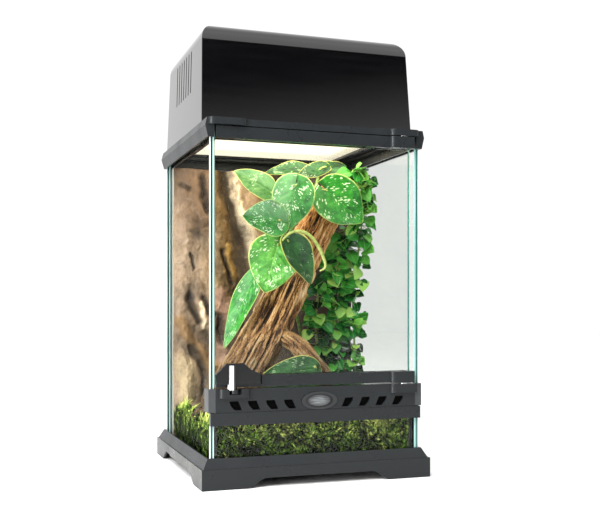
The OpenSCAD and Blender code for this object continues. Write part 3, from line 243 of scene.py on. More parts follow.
def turnedMetal(name, colour, roughness, brushing, paintedGlow=0.0):
    # metal with a directional brushing: streaks that follow the tool; the glow is painted light, an emission that
    # stands in for the lamp's light that fine wires scatter
    material, tree, shader, coords = newMaterial(
        name, Base_Color=colour, Metallic=1.0, Emission_Color="#efe5cf", Emission_Strength=paintedGlow)
    comb = addNode(tree, "Mapping", {"Vector": coords, "Scale": per(*brushing)})
    streak = addNode(tree, "TexNoise", {"Vector": comb, "Scale": 1, "Detail": 4})
    gloss = addNode(tree, "MapRange", {"Value": streak, "From": (0.3, 0.7), "To": (roughness - 0.08, roughness + 0.1)})
    relief = addNode(tree, "Bump", {"Height": streak, "Strength": 0.15, "Distance": 0.05 * mm})
    setNode(shader, {"Roughness": gloss, "Normal": relief})
    return material


def softRubber(name, colour, roughness=0.55, sheen=0.5):
    # cured rubber: dull, with a faint bloom
    material, tree, shader, coords = newMaterial(name, Base_Color=colour, IOR=1.45, Specular_IOR_Level=sheen)
    bloom = addNode(tree, "TexNoise", {"Vector": coords, "Scale": per(9), "Detail": 5})
    gloss = addNode(tree, "MapRange", {"Value": bloom, "To": (roughness - 0.1, roughness + 0.15)})
    setNode(shader, {"Roughness": gloss})
    return material


def litOpal():
    # opal acrylic lit from above, as painted light: an even cream glow from emission, with faint streaks of painted
    # shade from the mesh and the lamp
    material, tree, shader, coords = newMaterial(
        "litOpalAcrylic", Base_Color="#f4efe0", Roughness=0.5, Emission_Strength=1.3)
    streak = addNode(tree, "Mapping", {"Vector": coords, "Scale": per(90, 6, 90)})
    # painted shade: streaks where the mesh and the lamp shade the glow
    haze = addNode(tree, "TexNoise", {"Vector": streak, "Scale": 1, "Detail": 3})
    paintedGlow = addNode(tree, "ValToRGB", {"Fac": haze, "stops": [(0.3, "#efe9d6"), (0.7, "#fbf8ee")]})
    setNode(shader, {"Emission Color": paintedGlow})
    return material


def badgeMetal():
    # a brushed insert, painted darker towards its rim as painted shade so that it reads as domed, in a recess painted
    # near black as painted shade, inside a moulded ring
    material, tree, shader, coords = newMaterial("brushedNickelInsert", Roughness=0.34)
    place = addNode(tree, "SeparateXYZ", {0: coords})
    height = addNode(tree, "Math", {0: place.outputs["Z"], "operation": "SUBTRACT", 1: 0.07435})
    flat = addNode(tree, "CombineXYZ", {"X": place.outputs["X"], "Y": height})
    oval = addNode(tree, "Mapping", {"Vector": flat, "Scale": (*per(11.0, 5.2), 1)})
    reach = addNode(tree, "VectorMath", {0: oval, "operation": "LENGTH"}).outputs["Value"]
    comb = addNode(tree, "Mapping", {"Vector": coords, "Scale": per(9, 9, 0.5)})
    streak = addNode(tree, "TexNoise", {"Vector": comb, "Scale": 1, "Detail": 4})
    silver = addNode(tree, "ValToRGB", {"Fac": streak, "stops": [(0.3, "#484b4d"), (0.7, "#8f9294")]})
    # painted shade: the insert darkens towards its rim
    domeShade = paintCoats(tree, silver, (reach, 0.4, 1.0, 0.8, "#26282a"))
    # painted shade: the recess between insert and ring is near black
    final = paintCoats(tree, "#050505", (reach, 1.0, 0.95, 1, domeShade), (reach, 1.2, 1.24, 1, "#1b1e20"))
    shine = addNode(tree, "MapRange", {"Value": reach, "From": (1.0, 0.95), "To": (0, 0.75)})
    dent = addNode(tree, "Bump", {"Height": streak, "Strength": 0.2, "Distance": 0.1 * mm})
    setNode(shader, {"Base Color": final, "Metallic": shine, "Normal": dent})
    return material


rigidLooks = {
    "frame": mouldedPlastic("mouldedFrameAbs", "#15181a", 0.3, 0.5, 0.3, 0.24),
    "knob": mouldedPlastic("mouldedKnobAbs", "#0a0b0c", 0.12, 0.5, 0.03, 0.24),
    "clip": mouldedPlastic("mouldedClipAbs", "#2b2e30", 0.42, 0.5, 0.3),
    "hood": glossPlastic(),
    "tray": mouldedPlastic("mouldedTrayAbs", "#141516", 0.5, 0.6, 0.4),
    # the near-white stops on each pane's edges are painted highlights
    "leftGlass": floatGlass("floatGlassLeft", "X", 0.012, [
        (0.0, "#cfe6e0"), (0.22, "#9fcac2"), (0.32, "#0b2623"), (0.7, "#0e2e2a"), (0.8, "#f4f6f5"), (1.0, "#ffffff")]),
    "rightGlass": floatGlass("floatGlassRight", "X", 0.08, [
        (0.0, "#b5d8d2"), (0.3, "#79b3ab"), (0.55, "#3f837b"), (0.66, "#0a1514"), (0.88, "#0a1514"),
        (0.95, "#e9f0ee")]),
    "frontGlass": floatGlass("floatGlassFront", "Y", 0.16, [(0.0, "#14413b"), (0.5, "#5fa198"), (1.0, "#dff0ec")]),
    "floorGlass": floatGlass("floatGlassFloor", "Z", 0.3, [(0.0, "#14413b"), (1.0, "#5fa198")]),
    "silicone": softRubber("curedSilicone", "#202324", 0.35),
    "rubber": softRubber("mouldedRubber", "#101112"),
    "steel": turnedMetal("turnedSteel", "#b9bdbf", 0.28, (4, 4, 0.3)),
    "zinc": turnedMetal("blackenedZinc", "#3a3c3e", 0.4, (4, 4, 0.3)),
    # the screen's wires are given a painted glow: emission in place of the lamp's scattered light
    "mesh": turnedMetal("drawnWireSteel", "#d9d6cc", 0.35, (0.6, 0.6, 0.6), 0.78),
    "blackMesh": softRubber("powderCoatedWire", "#030303", 0.6, 0.05),
    "badge": badgeMetal(),
    "aluminium": turnedMetal("polishedAluminium", "#dfe1e2", 0.18, (30, 1.2, 30)),
    "opal": litOpal(),
    "porcelain": mouldedPlastic("glazedPorcelain", "#e9e6df", 0.16, 1.5, 0.05),
    "lamp": mouldedPlastic("opalLampGlass", "#f4f1e8", 0.2, 2.0, 0.02),
    "box": mouldedPlastic("mouldedBoxPolycarbonate", "#ecebe5", 0.45, 0.6, 0.3),
    "rocker": mouldedPlastic("mouldedRockerPolycarbonate", "#a8201a", 0.22, 1.0, 0.05),
}
nodesOfLook = {
    "frame": "base_frame vent_bar door_bottom_rail door_top_rail top_frame screen_frame",
    "knob": "inlet_slider_left inlet_slider_right latch_knob", "zinc": "latch_cam", "badge": "badge",
    "clip": "vent_bar_clips", "steel": "lower_hinge_pin upper_hinge_pin hood_screws",
    "leftGlass": "left_glass", "rightGlass": "right_glass", "floorGlass": "bottom_glass",
    "frontGlass": "back_glass front_glass door_glass", "silicone": "silicone_seams",
    "rubber": "screen_spline lead_gland", "hood": "hood_shell", "tray": "hood_tray switch_body",
    "opal": "diffuser", "aluminium": "reflector", "porcelain": "lamp_holder", "lamp": "lamp",
    "box": "ballast_box", "rocker": "switch_rocker",
}
edgeRounding = {  # mm of rounding on moulded edges
    "base_frame": 0.6, "vent_bar": 0.35, "door_bottom_rail": 0.4, "door_top_rail": 0.4, "top_frame": 0.6,
    "screen_frame": 0.5, "latch_knob": 0.9, "hood_shell": 0.2, "vent_bar_clips": 0.3, "badge": 0.3,
    "switch_body": 0.3, "switch_rocker": 0.3, "ballast_box": 0.8,
}
for look, nodes in nodesOfLook.items():
    for node in nodes.split():
        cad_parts[node].data.materials.clear()
        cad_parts[node].data.materials.append(rigidLooks[look])
for node, radius in edgeRounding.items():
    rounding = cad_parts[node].modifiers.new("roundedEdges", "BEVEL")
    rounding.width = radius * mm
    rounding.segments = 2
    rounding.limit_method = "ANGLE"
    rounding.angle_limit = math.radians(35)
    rounding.harden_normals = True
print("stage 3: rigid pieces have their finishes")


# helpers of the planted pieces

def makePiece(name, points, faces, material, replaced=(), tones=None, coords=None, body="tank", smooth=True):
    # points in mm; the material reads tones, a number or colour a point, and coords, a pair a point
    mesh = bpy.data.meshes.new(name)
    mesh.from_pydata([Vector(p) * mm for p in points], [], faces)
    mesh.materials.append(material)
    if smooth:
        mesh.polygons.foreach_set("use_smooth", [True] * len(mesh.polygons))
    if tones is not None:
        layer = mesh.color_attributes.new("tone", "FLOAT_COLOR", "POINT")
        layer.data.foreach_set("color", [c for t in tones for c in (t if isinstance(t, list) else (t, t, t, 1.0))])
    if coords is not None:
        layer = mesh.uv_layers.new(name="blade")
        for loop in mesh.loops:
            layer.data[loop.index].uv = coords[loop.vertex_index]
    piece = bpy.data.objects.new(name, mesh)
    scene.collection.objects.link(piece)
    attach(piece, body)
    if replaced:
        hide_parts(*replaced)
    return piece


def thicken(piece, depth):
    thick = piece.modifiers.new("thickness", "SOLIDIFY")
    thick.thickness = depth * mm
    thick.offset = 0


def gridFaces(rows, cols, start=0, closed=False):
    across = cols if closed else cols - 1
    return [(start + j * cols + i, start + j * cols + (i + 1) % cols, start + (j + 1) * cols + (i + 1) % cols,
             start + (j + 1) * cols + i) for j in range(rows - 1) for i in range(across)]


def tubeFaces(rings, sides, start=0):
    end = start + (rings - 1) * sides
    return gridFaces(rings, sides, start, closed=True) + [
        tuple(range(start, start + sides))[::-1], tuple(range(end, end + sides))]


def ringOf(centre, first, second, radius, count):
    angles = [math.tau * k / count for k in range(count)]
    return [centre + (first * math.cos(a) + second * math.sin(a)) * radius for a in angles]


def ease(t):
    return (1 - math.cos(math.pi * min(1, max(0, t)))) / 2


def rough(x, y, z, scale, octaves=4):
    # fractal roughness at a place in mm; scale is the size of its largest lumps in mm
    return noise.fractal(Vector((x, y, z)) / scale, 0.9, 2.1, octaves)


def sinDeg(a):
    return math.sin(math.radians(a))


def cosDeg(a):
    return math.cos(math.radians(a))


# foam rock background

rock = {
    "halfWidth": 95.7, "foot": 22.3, "top": 304.8, "back": 95.7,
    "left": 11, "bulge": 30, "slot": 3.6,  # thickness at the left, extra at the right, notch for the sealant bead
    "columns": 230, "rows": 320,
    "folds": [  # modelled one by one: places (x, z) along it, half width, height or depth, paint
        # the dark paint along the grooves is painted shade; the gold paint on the small ridge is a painted highlight
        ([(-86, 306), (-80, 255), (-84, 190), (-82, 120), (-86, 30)], 18, 3.0, "lilac"),
        ([(-92, 306), (-72, 290), (-66, 264)], 24, 1.5, "brown"),
        ([(-46, 306), (-45, 265), (-41, 218), (-37, 176)], 9, 5.0, "ochre"),
        ([(-44, 168), (-39, 136), (-44, 60)], 9, 4.0, "rose"),
        ([(8, 307), (12, 275), (4, 225), (8, 180)], 14, 4.0, "rust"),
        ([(-84, 100), (-80, 80), (-80, 55)], 9, 5.0, "pale"),
        ([(-90, 141), (-78, 122), (-66, 107), (-54, 97)], 6, 5.5, "rust"),
        ([(-40, 306), (-33, 266), (-25, 241), (-19, 208), (-14, 180), (-16, 110)], 9, -10.0, "dark"),
        ([(-30, 306), (-26, 283), (-20, 258), (-14, 245), (-8, 226), (-2, 200)], 5, 7.0, "cream"),
        ([(-37, 224), (-29, 188)], 2.8, 3.0, "gold"),
        ([(-43, 218), (-37, 200), (-31, 184)], 2.2, -5.0, "dark"),
        ([(-64, 294), (-60, 262)], 4, -6.0, "dark"),
        ([(-87, 289), (-80, 284)], 3, -3.0, "dark"),
        ([(-76, 214), (-73, 196)], 1.8, -3.5, "dark"),
        ([(-64, 161), (-61, 132)], 2.8, 3.5, "cream"),
        ([(-78, 171), (-73, 156), (-67, 139)], 3.4, -7.0, "dark"),
        ([(-62, 166), (-56, 150), (-47, 148), (-43, 122)], 3.6, -6.0, "dark"),
        ([(-75, 113), (-65, 98), (-60, 84), (-61, 60)], 4.5, -6.0, "dark"),
        ([(28, 309), (36, 280), (30, 240), (36, 190)], 12, -7.0, "dark"),
    ],
    # dark is painted shade for grooves and hollows, gold a painted highlight
    "paints": {"lilac": "#9c8570", "brown": "#664c36", "ochre": "#5d4415", "rose": "#94715e", "rust": "#8f6b3e",
               "pale": "#b09b78", "cream": "#f3ddbb", "gold": "#a9823c", "dark": "#120a04", "plain": "#7b6348",
               "tan": "#998064"},
}
paints = {name: hexColour(code) for name, code in rock["paints"].items()}


def rockDepth(u, v):
    wave = 2.6 * math.sin(math.radians(360 * (1.3 * u + 0.55 * sinDeg(170 * v))))
    return (rock["left"] + rock["bulge"] * ease((u - 0.45) / 0.5) + wave + 2.2 * sinDeg(900 * v + 260 * u)
            + 1.8 * sinDeg(700 * u - 540 * v))


def offLine(x, z, places):
    # distance in mm from a place to a line through places
    nearest = 1e9
    for (ax, az), (bx, bz) in zip(places, places[1:]):
        dx, dz = bx - ax, bz - az
        t = min(1, max(0, ((x - ax) * dx + (z - az) * dz) / (dx * dx + dz * dz)))
        nearest = min(nearest, (x - ax - dx * t) ** 2 + (z - az - dz * t) ** 2)
    return math.sqrt(nearest)


def mixPaint(first, second, share):
    return [a + (b - a) * share for a, b in zip(first, second)]


def rockRelief(x, z):
    # the listed folds over stretched lumps, with fibrous ridges and grit; gives the relief and its paint
    swayX = x + 3 * rough(x, 2, z, 30, 3) + 1.5 * rough(x, 6, z, 8, 2)
    swayZ = z + 6 * rough(x, 11, z, 40, 2)
    lump = rough(swayX, 3, z * 0.6, 22, 4)
    ridge = 1 - abs(rough(swayX, 8, z * 0.4, 11, 3)) * 2.2
    grit = rough(x, 9, z, 3.2, 3)
    paint = mixPaint(paints["plain"], paints["tan"], min(1, max(0, 0.5 + 1.3 * lump)))
    relief = 3.2 * lump + 0.7 * (ridge - 0.6) + 0.35 * grit
    for places, width, height, name in rock["folds"]:
        away = offLine(swayX, swayZ, places) / width
        if away < 2.4:
            relief += height * math.exp(-away * away)
            paint = mixPaint(paint, paints[name], 0.85 * math.exp(-(away / 1.15) ** 4))
    # painted shade: the hollows between lumps and ridges are painted darker
    hollowShade = min(1, max(0, 0.12 - 0.3 * (0.7 * (ridge - 0.6) + 2.4 * lump + 0.6 * grit)))
    paint = mixPaint(paint, paints["dark"], 0.85 * hollowShade)
    return relief, paint


def paintedFoam():
    # hand-painted polyurethane foam: thin washes over the modelled folds, stippled with dark specks
    material, tree, shader, coords = newMaterial("paintedPolyurethaneFoam", Roughness=0.7, IOR=1.45)
    stretched = addNode(tree, "Mapping", {"Vector": coords, "Scale": per(6, 6, 9)})
    wash = addNode(tree, "TexNoise", {
        "Vector": stretched, "Scale": 1, "Detail": 6, "Roughness": 0.65, "Distortion": 0.6})
    speck = addNode(tree, "TexVoronoi", {"Vector": coords, "Scale": per(2.2)})
    side = addNode(tree, "SeparateXYZ", {0: coords}).outputs["X"]
    final = paintCoats(
        tree, addNode(tree, "VertexColor", {"layer_name": "tone"}),
        (wash, 0.5, 0.32, 0.5, "#6e5330"),
        (wash, 0.56, 0.76, 0.22, "#d9c6a8"),  # dry-brushed high spots
        (speck, 0.3, 0.16, 0.6, "#3b2a1d"),
        (side, -20 * mm, 30 * mm, 0.9, "#150e09", "SMOOTHSTEP"),  # painted shadow: darker towards the right, where the plants shade the rock
        (side, -95.3 * mm, -95.6 * mm, 1, "#8d8f88"))  # the bare cut edge beside the left pane is grey foam
    grain = addNode(tree, "TexNoise", {"Vector": coords, "Scale": per(1.1), "Detail": 5})
    relief = addNode(tree, "Bump", {"Height": grain, "Strength": 0.7, "Distance": 0.5 * mm})
    setNode(shader, {"Base Color": final, "Normal": relief})
    return material


def makeRock():
    cols, rows, half, back, slot = (rock[k] for k in ("columns", "rows", "halfWidth", "back", "slot"))
    points, tones = [], []
    for j in range(rows + 1):
        v = j / rows
        z = rock["foot"] + (rock["top"] - rock["foot"]) * v
        for i in range(cols + 1):
            u = i / cols
            x = -half + 2 * half * u
            relief, paint = rockRelief(x, z)
            rim = min(1, u * 14, (1 - u) * 14)  # the relief fades towards the panes
            points.append((x, back - max(slot + 1, rockDepth(u, v) + relief * rim), z))
            tones.append(paint)
        points += [(half, back - slot, z), (half - slot, back, z), (-half + slot, back, z), (-half, back - slot, z)]
        tones += [0.6] * 4
    faces = tubeFaces(rows + 1, cols + 5)
    makePiece("rockRelief", points, faces, paintedFoam(), ("rock_background",), tones)


makeRock()
print("stage 4: rock background")


# driftwood

wood = {
    "foot": 50.3,
    "path": [(-66, -20, 0, 21), (-58, -17, 26, 22), (-34, -9, 62, 22), (-4, 0, 112, 19), (24, 7, 165, 17),
             (44, 12, 200, 16), (58, 18, 226, 14), (68, 30, 240, 8)],
    "sides": 260, "levels": 420, "wide": 1.12, "deep": 0.8,
    "branch": [(-20, -2, 92, 9), (-13, -6, 86, 12), (0, -14, 77, 12), (14, -23, 62, 10), (30, -32, 42, 7),
               (36, -36, 26, 3)],
    "root": [(-62, -14, 22, 13), (-74, -12, 14, 12), (-86, -14, 6, 9), (-92, -20, 2, 4)],
}


def spline(a, b, c, d, t):
    # between b and c on a smooth line through four places
    return 0.5 * (2 * b + (c - a) * t + (2 * a - 5 * b + 4 * c - d) * t * t + (3 * b - a - 3 * c + d) * t ** 3)


def woodLine(rows, t):
    # a smooth line through the rows
    place = t * (len(rows) - 1)
    k = min(len(rows) - 2, int(place))
    four = rows[max(0, k - 1)], rows[k], rows[k + 1], rows[min(len(rows) - 1, k + 2)]
    return [spline(*values, place - k) for values in zip(*four)]


def weatheredWood():
    # sun-bleached driftwood: torn fibres, tan on the ridges, orange-brown between, near black in the splits
    material, tree, shader, coords = newMaterial("weatheredDriftwood", Roughness=0.66, IOR=1.45)
    lean = addNode(tree, "Mapping", {
        "Vector": coords, "Rotation": (0, math.radians(-31), 0), "Scale": per(1.1, 1.1, 26)})
    fibre = addNode(tree, "TexNoise", {"Vector": lean, "Scale": 1, "Detail": 6, "Roughness": 0.7, "Distortion": 0.9})
    tone = addNode(tree, "VertexColor", {"layer_name": "tone"})
    both = addNode(tree, "Math", {0: fibre, 2: tone, "operation": "MULTIPLY_ADD", 1: 1.3})
    colour = addNode(tree, "ValToRGB", {"Fac": both, "stops": [
        (0.24, "#170d06"), (0.37, "#4f2f15"), (0.5, "#9d6a35"), (0.64, "#cb9a5e"), (0.8, "#e3bd87"), (1.0, "#f6e4c2")]})
    height = addNode(tree, "SeparateXYZ", {0: coords}).outputs["Z"]
    fresh = addNode(tree, "MapRange", {"Value": height, "From": (0.19, 0.26), "To": (0, 0.55)})
    warm = addNode(tree, "Mix", {"data_type": "RGBA", "blend_type": "MULTIPLY", 0: fresh, 6: colour, 7: "#ffc57c"})
    final = paintCoats(tree, warm, (height, 0.17, 0.085, 0.85, "#1c120b"))  # painted shade: darker towards the moss, where the foot lies in shadow behind the vent bar
    relief = addNode(tree, "Bump", {"Height": fibre, "Strength": 0.9, "Distance": 0.8 * mm})
    setNode(shader, {"Base Color": final, "Normal": relief})
    return material


def woodBody(rows, sides, levels, length, girth, points, faces, tones):
    # a split, fibrous limb: long splits, short torn fibres and chips, all in mm of relief
    start = len(points)
    for j in range(levels + 1):
        t = j / levels
        x, y, z, r = woodLine(rows, t)
        run = t * length
        for i in range(sides):
            a = 360 * i / sides
            ca, sa = cosDeg(a), sinDeg(a)
            cx, cy = ca * girth, sa * girth
            split = min(1, 4.6 * abs(rough(cx + 0.04 * run, cy, run * 0.07, 9, 3)))
            tear = min(1, 4.4 * abs(rough(cx, cy + 31, run * 0.09, 3.6, 2)))
            fibre = rough(cx, cy + 57, run * 0.1, 1.4, 2)
            chip = rough(cx, cy + 83, run * 0.5, 7, 2)
            torn = 1.5 if chip > 0.25 else 0.0
            edge = min(1, t * 25, (1 - t) * 18)
            depth = (3.2 * (split - 0.7) + 1.5 * (tear - 0.7) + 0.8 * fibre - torn) * (0.3 + 0.7 * edge) * min(1, r / 8)
            groove = 1 + 0.07 * sinDeg(5 * a + 300 * t) + 0.06 * sinDeg(9 * a - 200 * t)
            radius = r * groove + depth
            points.append((x + wood["wide"] * radius * ca, y + wood["deep"] * radius * sa,
                           wood["foot"] + max(0, z + 1.5 * chip * edge)))
            tones.append(max(-0.7, -0.46 + 0.3 * split + 0.19 * tear + 0.35 * fibre - 0.05 * torn))
    faces += tubeFaces(levels + 1, sides, start)


def makeWood():
    points, faces, tones = [], [], []
    woodBody(wood["path"], wood["sides"], wood["levels"], 290, 17, points, faces, tones)
    woodBody(wood["branch"], 70, 110, 80, 6, points, faces, tones)
    woodBody(wood["root"], 80, 60, 40, 9, points, faces, tones)
    makePiece("driftwoodLog", points, faces, weatheredWood(), ("driftwood",), tones)


makeWood()
print("stage 5: driftwood")


# soil and moss

bed = {
    "half": 95.7, "floor": 22, "soilTop": 46, "mossTop": 50, "front": -96, "mossFront": 9, "columns": 120, "rows": 110,
    "footX": -66, "footY": -20,
    "tufts": 1100, "shoots": 10, "onFront": 0.38, "onSides": 0.68, "length": (8, 15), "width": 2.3,
    "inset": 4,  # the moss hangs down this far in front of the soil's sides
}


def bedBack(x):
    u = (x + bed["half"]) / (2 * bed["half"])
    return 95.3 - max(max(4.6, rockDepth(u, 0.03 * k)) for k in range(7))


def mossHeight(x, y):
    hill = (2.2 * sinDeg(9 * x + 40) * cosDeg(8 * y) + 1.4 * sinDeg(17 * y - 11 * x)
            + 9 * math.exp(-((x + 92) / 16) ** 2 - ((y - 22) / 26) ** 2))
    away = math.hypot(x - bed["footX"], y - bed["footY"])
    return bed["mossTop"] + hill * (1 - math.exp(-(away / 40) ** 6))


def livingMoss(name, low, middle, high):
    # feather moss: every shoot is a slightly different yellow-green; painted shade darkens it towards its root and
    # towards the soil
    material, tree, shader, coords = newMaterial(name, Roughness=0.6, Specular_IOR_Level=0.12)
    patch = addNode(tree, "TexNoise", {"Vector": coords, "Scale": per(22), "Detail": 3})
    tone = addNode(tree, "VertexColor", {"layer_name": "tone"})
    mixed = addNode(tree, "Math", {0: patch, 2: tone, "operation": "MULTIPLY_ADD", 1: 0.55})
    colour = addNode(tree, "ValToRGB", {"Fac": mixed, "stops": [(0.25, low), (0.62, middle), (1.0, high)]})
    setNode(shader, {"Base Color": colour})
    return material


def dampSoil():
    # damp peat: nearly black, crumbly, with a few paler fibres
    material, tree, shader, coords = newMaterial("dampPeat", Roughness=0.9)
    crumbs = addNode(tree, "TexVoronoi", {"Vector": coords, "Scale": per(2.4)})
    colour = addNode(tree, "ValToRGB", {"Fac": crumbs, "stops": [(0.1, "#100f0a"), (0.5, "#211c12"), (0.9, "#3a3220")]})
    relief = addNode(tree, "Bump", {"Height": crumbs, "Strength": 0.8, "Distance": 0.8 * mm})
    setNode(shader, {"Base Color": colour, "Normal": relief})
    return material


def makeSoil():
    columns, levels = 60, 14
    half, front = bed["half"] - bed["inset"], bed["front"] + 9.3
    xs = [-half + 2 * half * i / columns for i in range(columns + 1)]
    ring = [(x, bedBack(x)) for x in xs] + [(half, front), (-half, front)]
    heights = [bed["floor"] + (bed["soilTop"] - bed["floor"]) * j / levels for j in range(levels + 1)]
    points = [(x, y, z) for z in heights for x, y in ring]
    n = len(ring)
    faces = gridFaces(levels + 1, n, closed=True)
    faces += [tuple(range(n)), tuple(range(levels * n, (levels + 1) * n))[::-1]]
    makePiece("soilBed", points, [f[::-1] for f in faces], dampSoil(), ("substrate",), smooth=False)


def mossStrand(points, faces, tones, root, lift, sideways, size, width, tone):
    # a curved, tapering shoot of three sides that ends in a point
    start = len(points)
    across = lift.cross(sideways).normalized()
    for up, out, thick in ((0, 0, 1.0), (0.5, 0.12, 0.8), (0.85, 0.42, 0.45)):
        centre = root + lift * (size * up) + sideways * (size * out)
        points += ringOf(centre, across, sideways, width * thick / 2, 3)
        # painted shade: each shoot is darker towards its root
        tones += [tone * (0.1 + 0.75 * up)] * 3
    points.append(root + lift * size * 0.98 + sideways * size * 0.75)
    tones.append(tone)
    faces += gridFaces(3, 3, start, closed=True)
    faces += [(start + 6 + k, start + 6 + (k + 1) % 3, start + 9) for k in range(3)] + [(start + 2, start + 1, start)]


def makeMoss():
    count, rows, floor = bed["columns"] + 1, bed["rows"], bed["floor"]
    step = bed["front"] + bed["mossFront"]
    wall = bed["front"] + 0.3
    points, tones = [], []
    drop = 10  # rows that hang down the inside of the front pane
    for j in range(rows + drop + 1):
        top = []
        for i in range(count):
            x = (bed["half"] - bed["inset"]) * (2 * i / (count - 1) - 1)
            if j < drop:
                z = floor + 2 + (mossHeight(x, wall) - floor - 2) * j / drop
                y = wall + 4 + 2.5 * rough(x, 0, z, 7, 3)
            else:
                y = wall + 3 + (bedBack(x) - wall - 3) * (j - drop) / rows
                lump = rough(x, y, 0, 11) * 1.6 + rough(x, y, 5, 3, 3) * 0.7
                edge = min(1, (bed["half"] - abs(x)) / 6 + 0.3)
                away = math.hypot(x - bed["footX"], y - bed["footY"])
                z = mossHeight(x, y) + min(lump, 1.5) * edge * (0.2 if away < 26 else 1)
            top.append((x, y, z))
            tones.append(0.22 + 0.16 * rough(x, y, z, 6, 3))
        tones += [0.1] * count
        points += top
        for x, y, z in top[::-1]:  # back along the underside, just above the soil
            low = bed["soilTop"] + 0.1 if y > step else floor + 2
            points.append((x, y + 1 if j < drop else y, min(low, z - 0.1)))
    faces = gridFaces(rows + drop + 1, 2 * count, closed=True)
    last = 2 * count * (rows + drop)
    for i in range(count - 1):
        under = 2 * count - 1 - i
        faces += [(i + 1, i, under, under - 1), (last + i, last + i + 1, last + under - 1, last + under)]
    # the carpet under the shoots is painted nearly black: painted shade in the gaps between them
    material = livingMoss("featherMossBase", "#070a03", "#18220b", "#3a481a")
    makePiece("mossCarpet", points, faces, material, ("moss_bed",), tones)
    makeStrands(wall)


def makeStrands(wall):
    chance = random.Random(7)
    spread, wobble = chance.uniform, chance.gauss
    points, faces, tones = [], [], []
    shortest, longest = bed["length"]
    half, floor = bed["half"], bed["floor"]
    for _ in range(bed["tufts"]):
        pick = chance.random()
        if pick < bed["onFront"]:  # seen through the front pane
            x = spread(-94, 94)
            y = wall + spread(2, 5)
            z = spread(floor + 3, mossHeight(x, wall))
            lift = Vector((wobble(0, 0.9), -0.75, wobble(0.3, 0.6)))
            deep = (z - floor) / 28
        elif pick < bed["onSides"]:  # seen through the side panes
            side = -1 if chance.random() < 0.7 else 1
            y = spread(wall + 3, bedBack(side * 94) - 1)
            x = side * (half - spread(1.5, 4))
            z = spread(floor + 3, mossHeight(x, y))
            lift = Vector((side * 0.75, wobble(0, 0.9), wobble(0.3, 0.6)))
            deep = (z - floor) / 34
        else:
            x = spread(-94.5, 94.5)
            y = min(spread(-94, bedBack(x) - 2), spread(-94, 110))
            if math.hypot(x - bed["footX"], (y - bed["footY"]) * 1.3) < 25:
                continue
            z = mossHeight(x, y) - 0.5
            lift = Vector((wobble(0, 0.45), wobble(0, 0.45), 0.9))
            deep = 1.0
        lift.normalize()
        clump = rough(x + 3 * y, y, z, 12, 2)
        # painted shade: shoots low on the front and sides are darker towards the soil
        own = max(0, 0.85 + 1.5 * clump + wobble(0, 0.34) + 0.1 * x / half) * min(1, 0.04 + deep) ** 1.3
        across = lift.orthogonal().normalized()
        over = lift.cross(across)
        before = len(points)
        for _ in range(bed["shoots"]):
            angle = spread(0, math.tau)
            away = across * math.cos(angle) + over * math.sin(angle)
            way = (lift + away * spread(0.2, 1.2)).normalized()
            droop = (away + Vector((0, 0, spread(-0.8, 0.2)))).normalized()
            reach = max(3, spread(shortest, longest) * (0.8 + 0.5 * clump))
            tone = min(1.2, max(0.0, own + wobble(0, 0.08)))
            mossStrand(points, faces, tones, Vector((x, y, z)) + away * spread(0, 1.5), way, droop, reach,
                       bed["width"] * spread(0.6, 1.2), tone)
        for k in range(before, len(points)):
            q = points[k]
            points[k] = Vector((min(half - 0.1, max(0.1 - half, q.x)), max(wall + 0.1, q.y), q.z))
    material = livingMoss("featherMossShoots", "#081203", "#6f9a26", "#eef784")
    makePiece("mossShoots", points, faces, material, ("moss_bed",), tones)


makeSoil()
makeMoss()
print("stage 6: soil and moss")


# satin vine

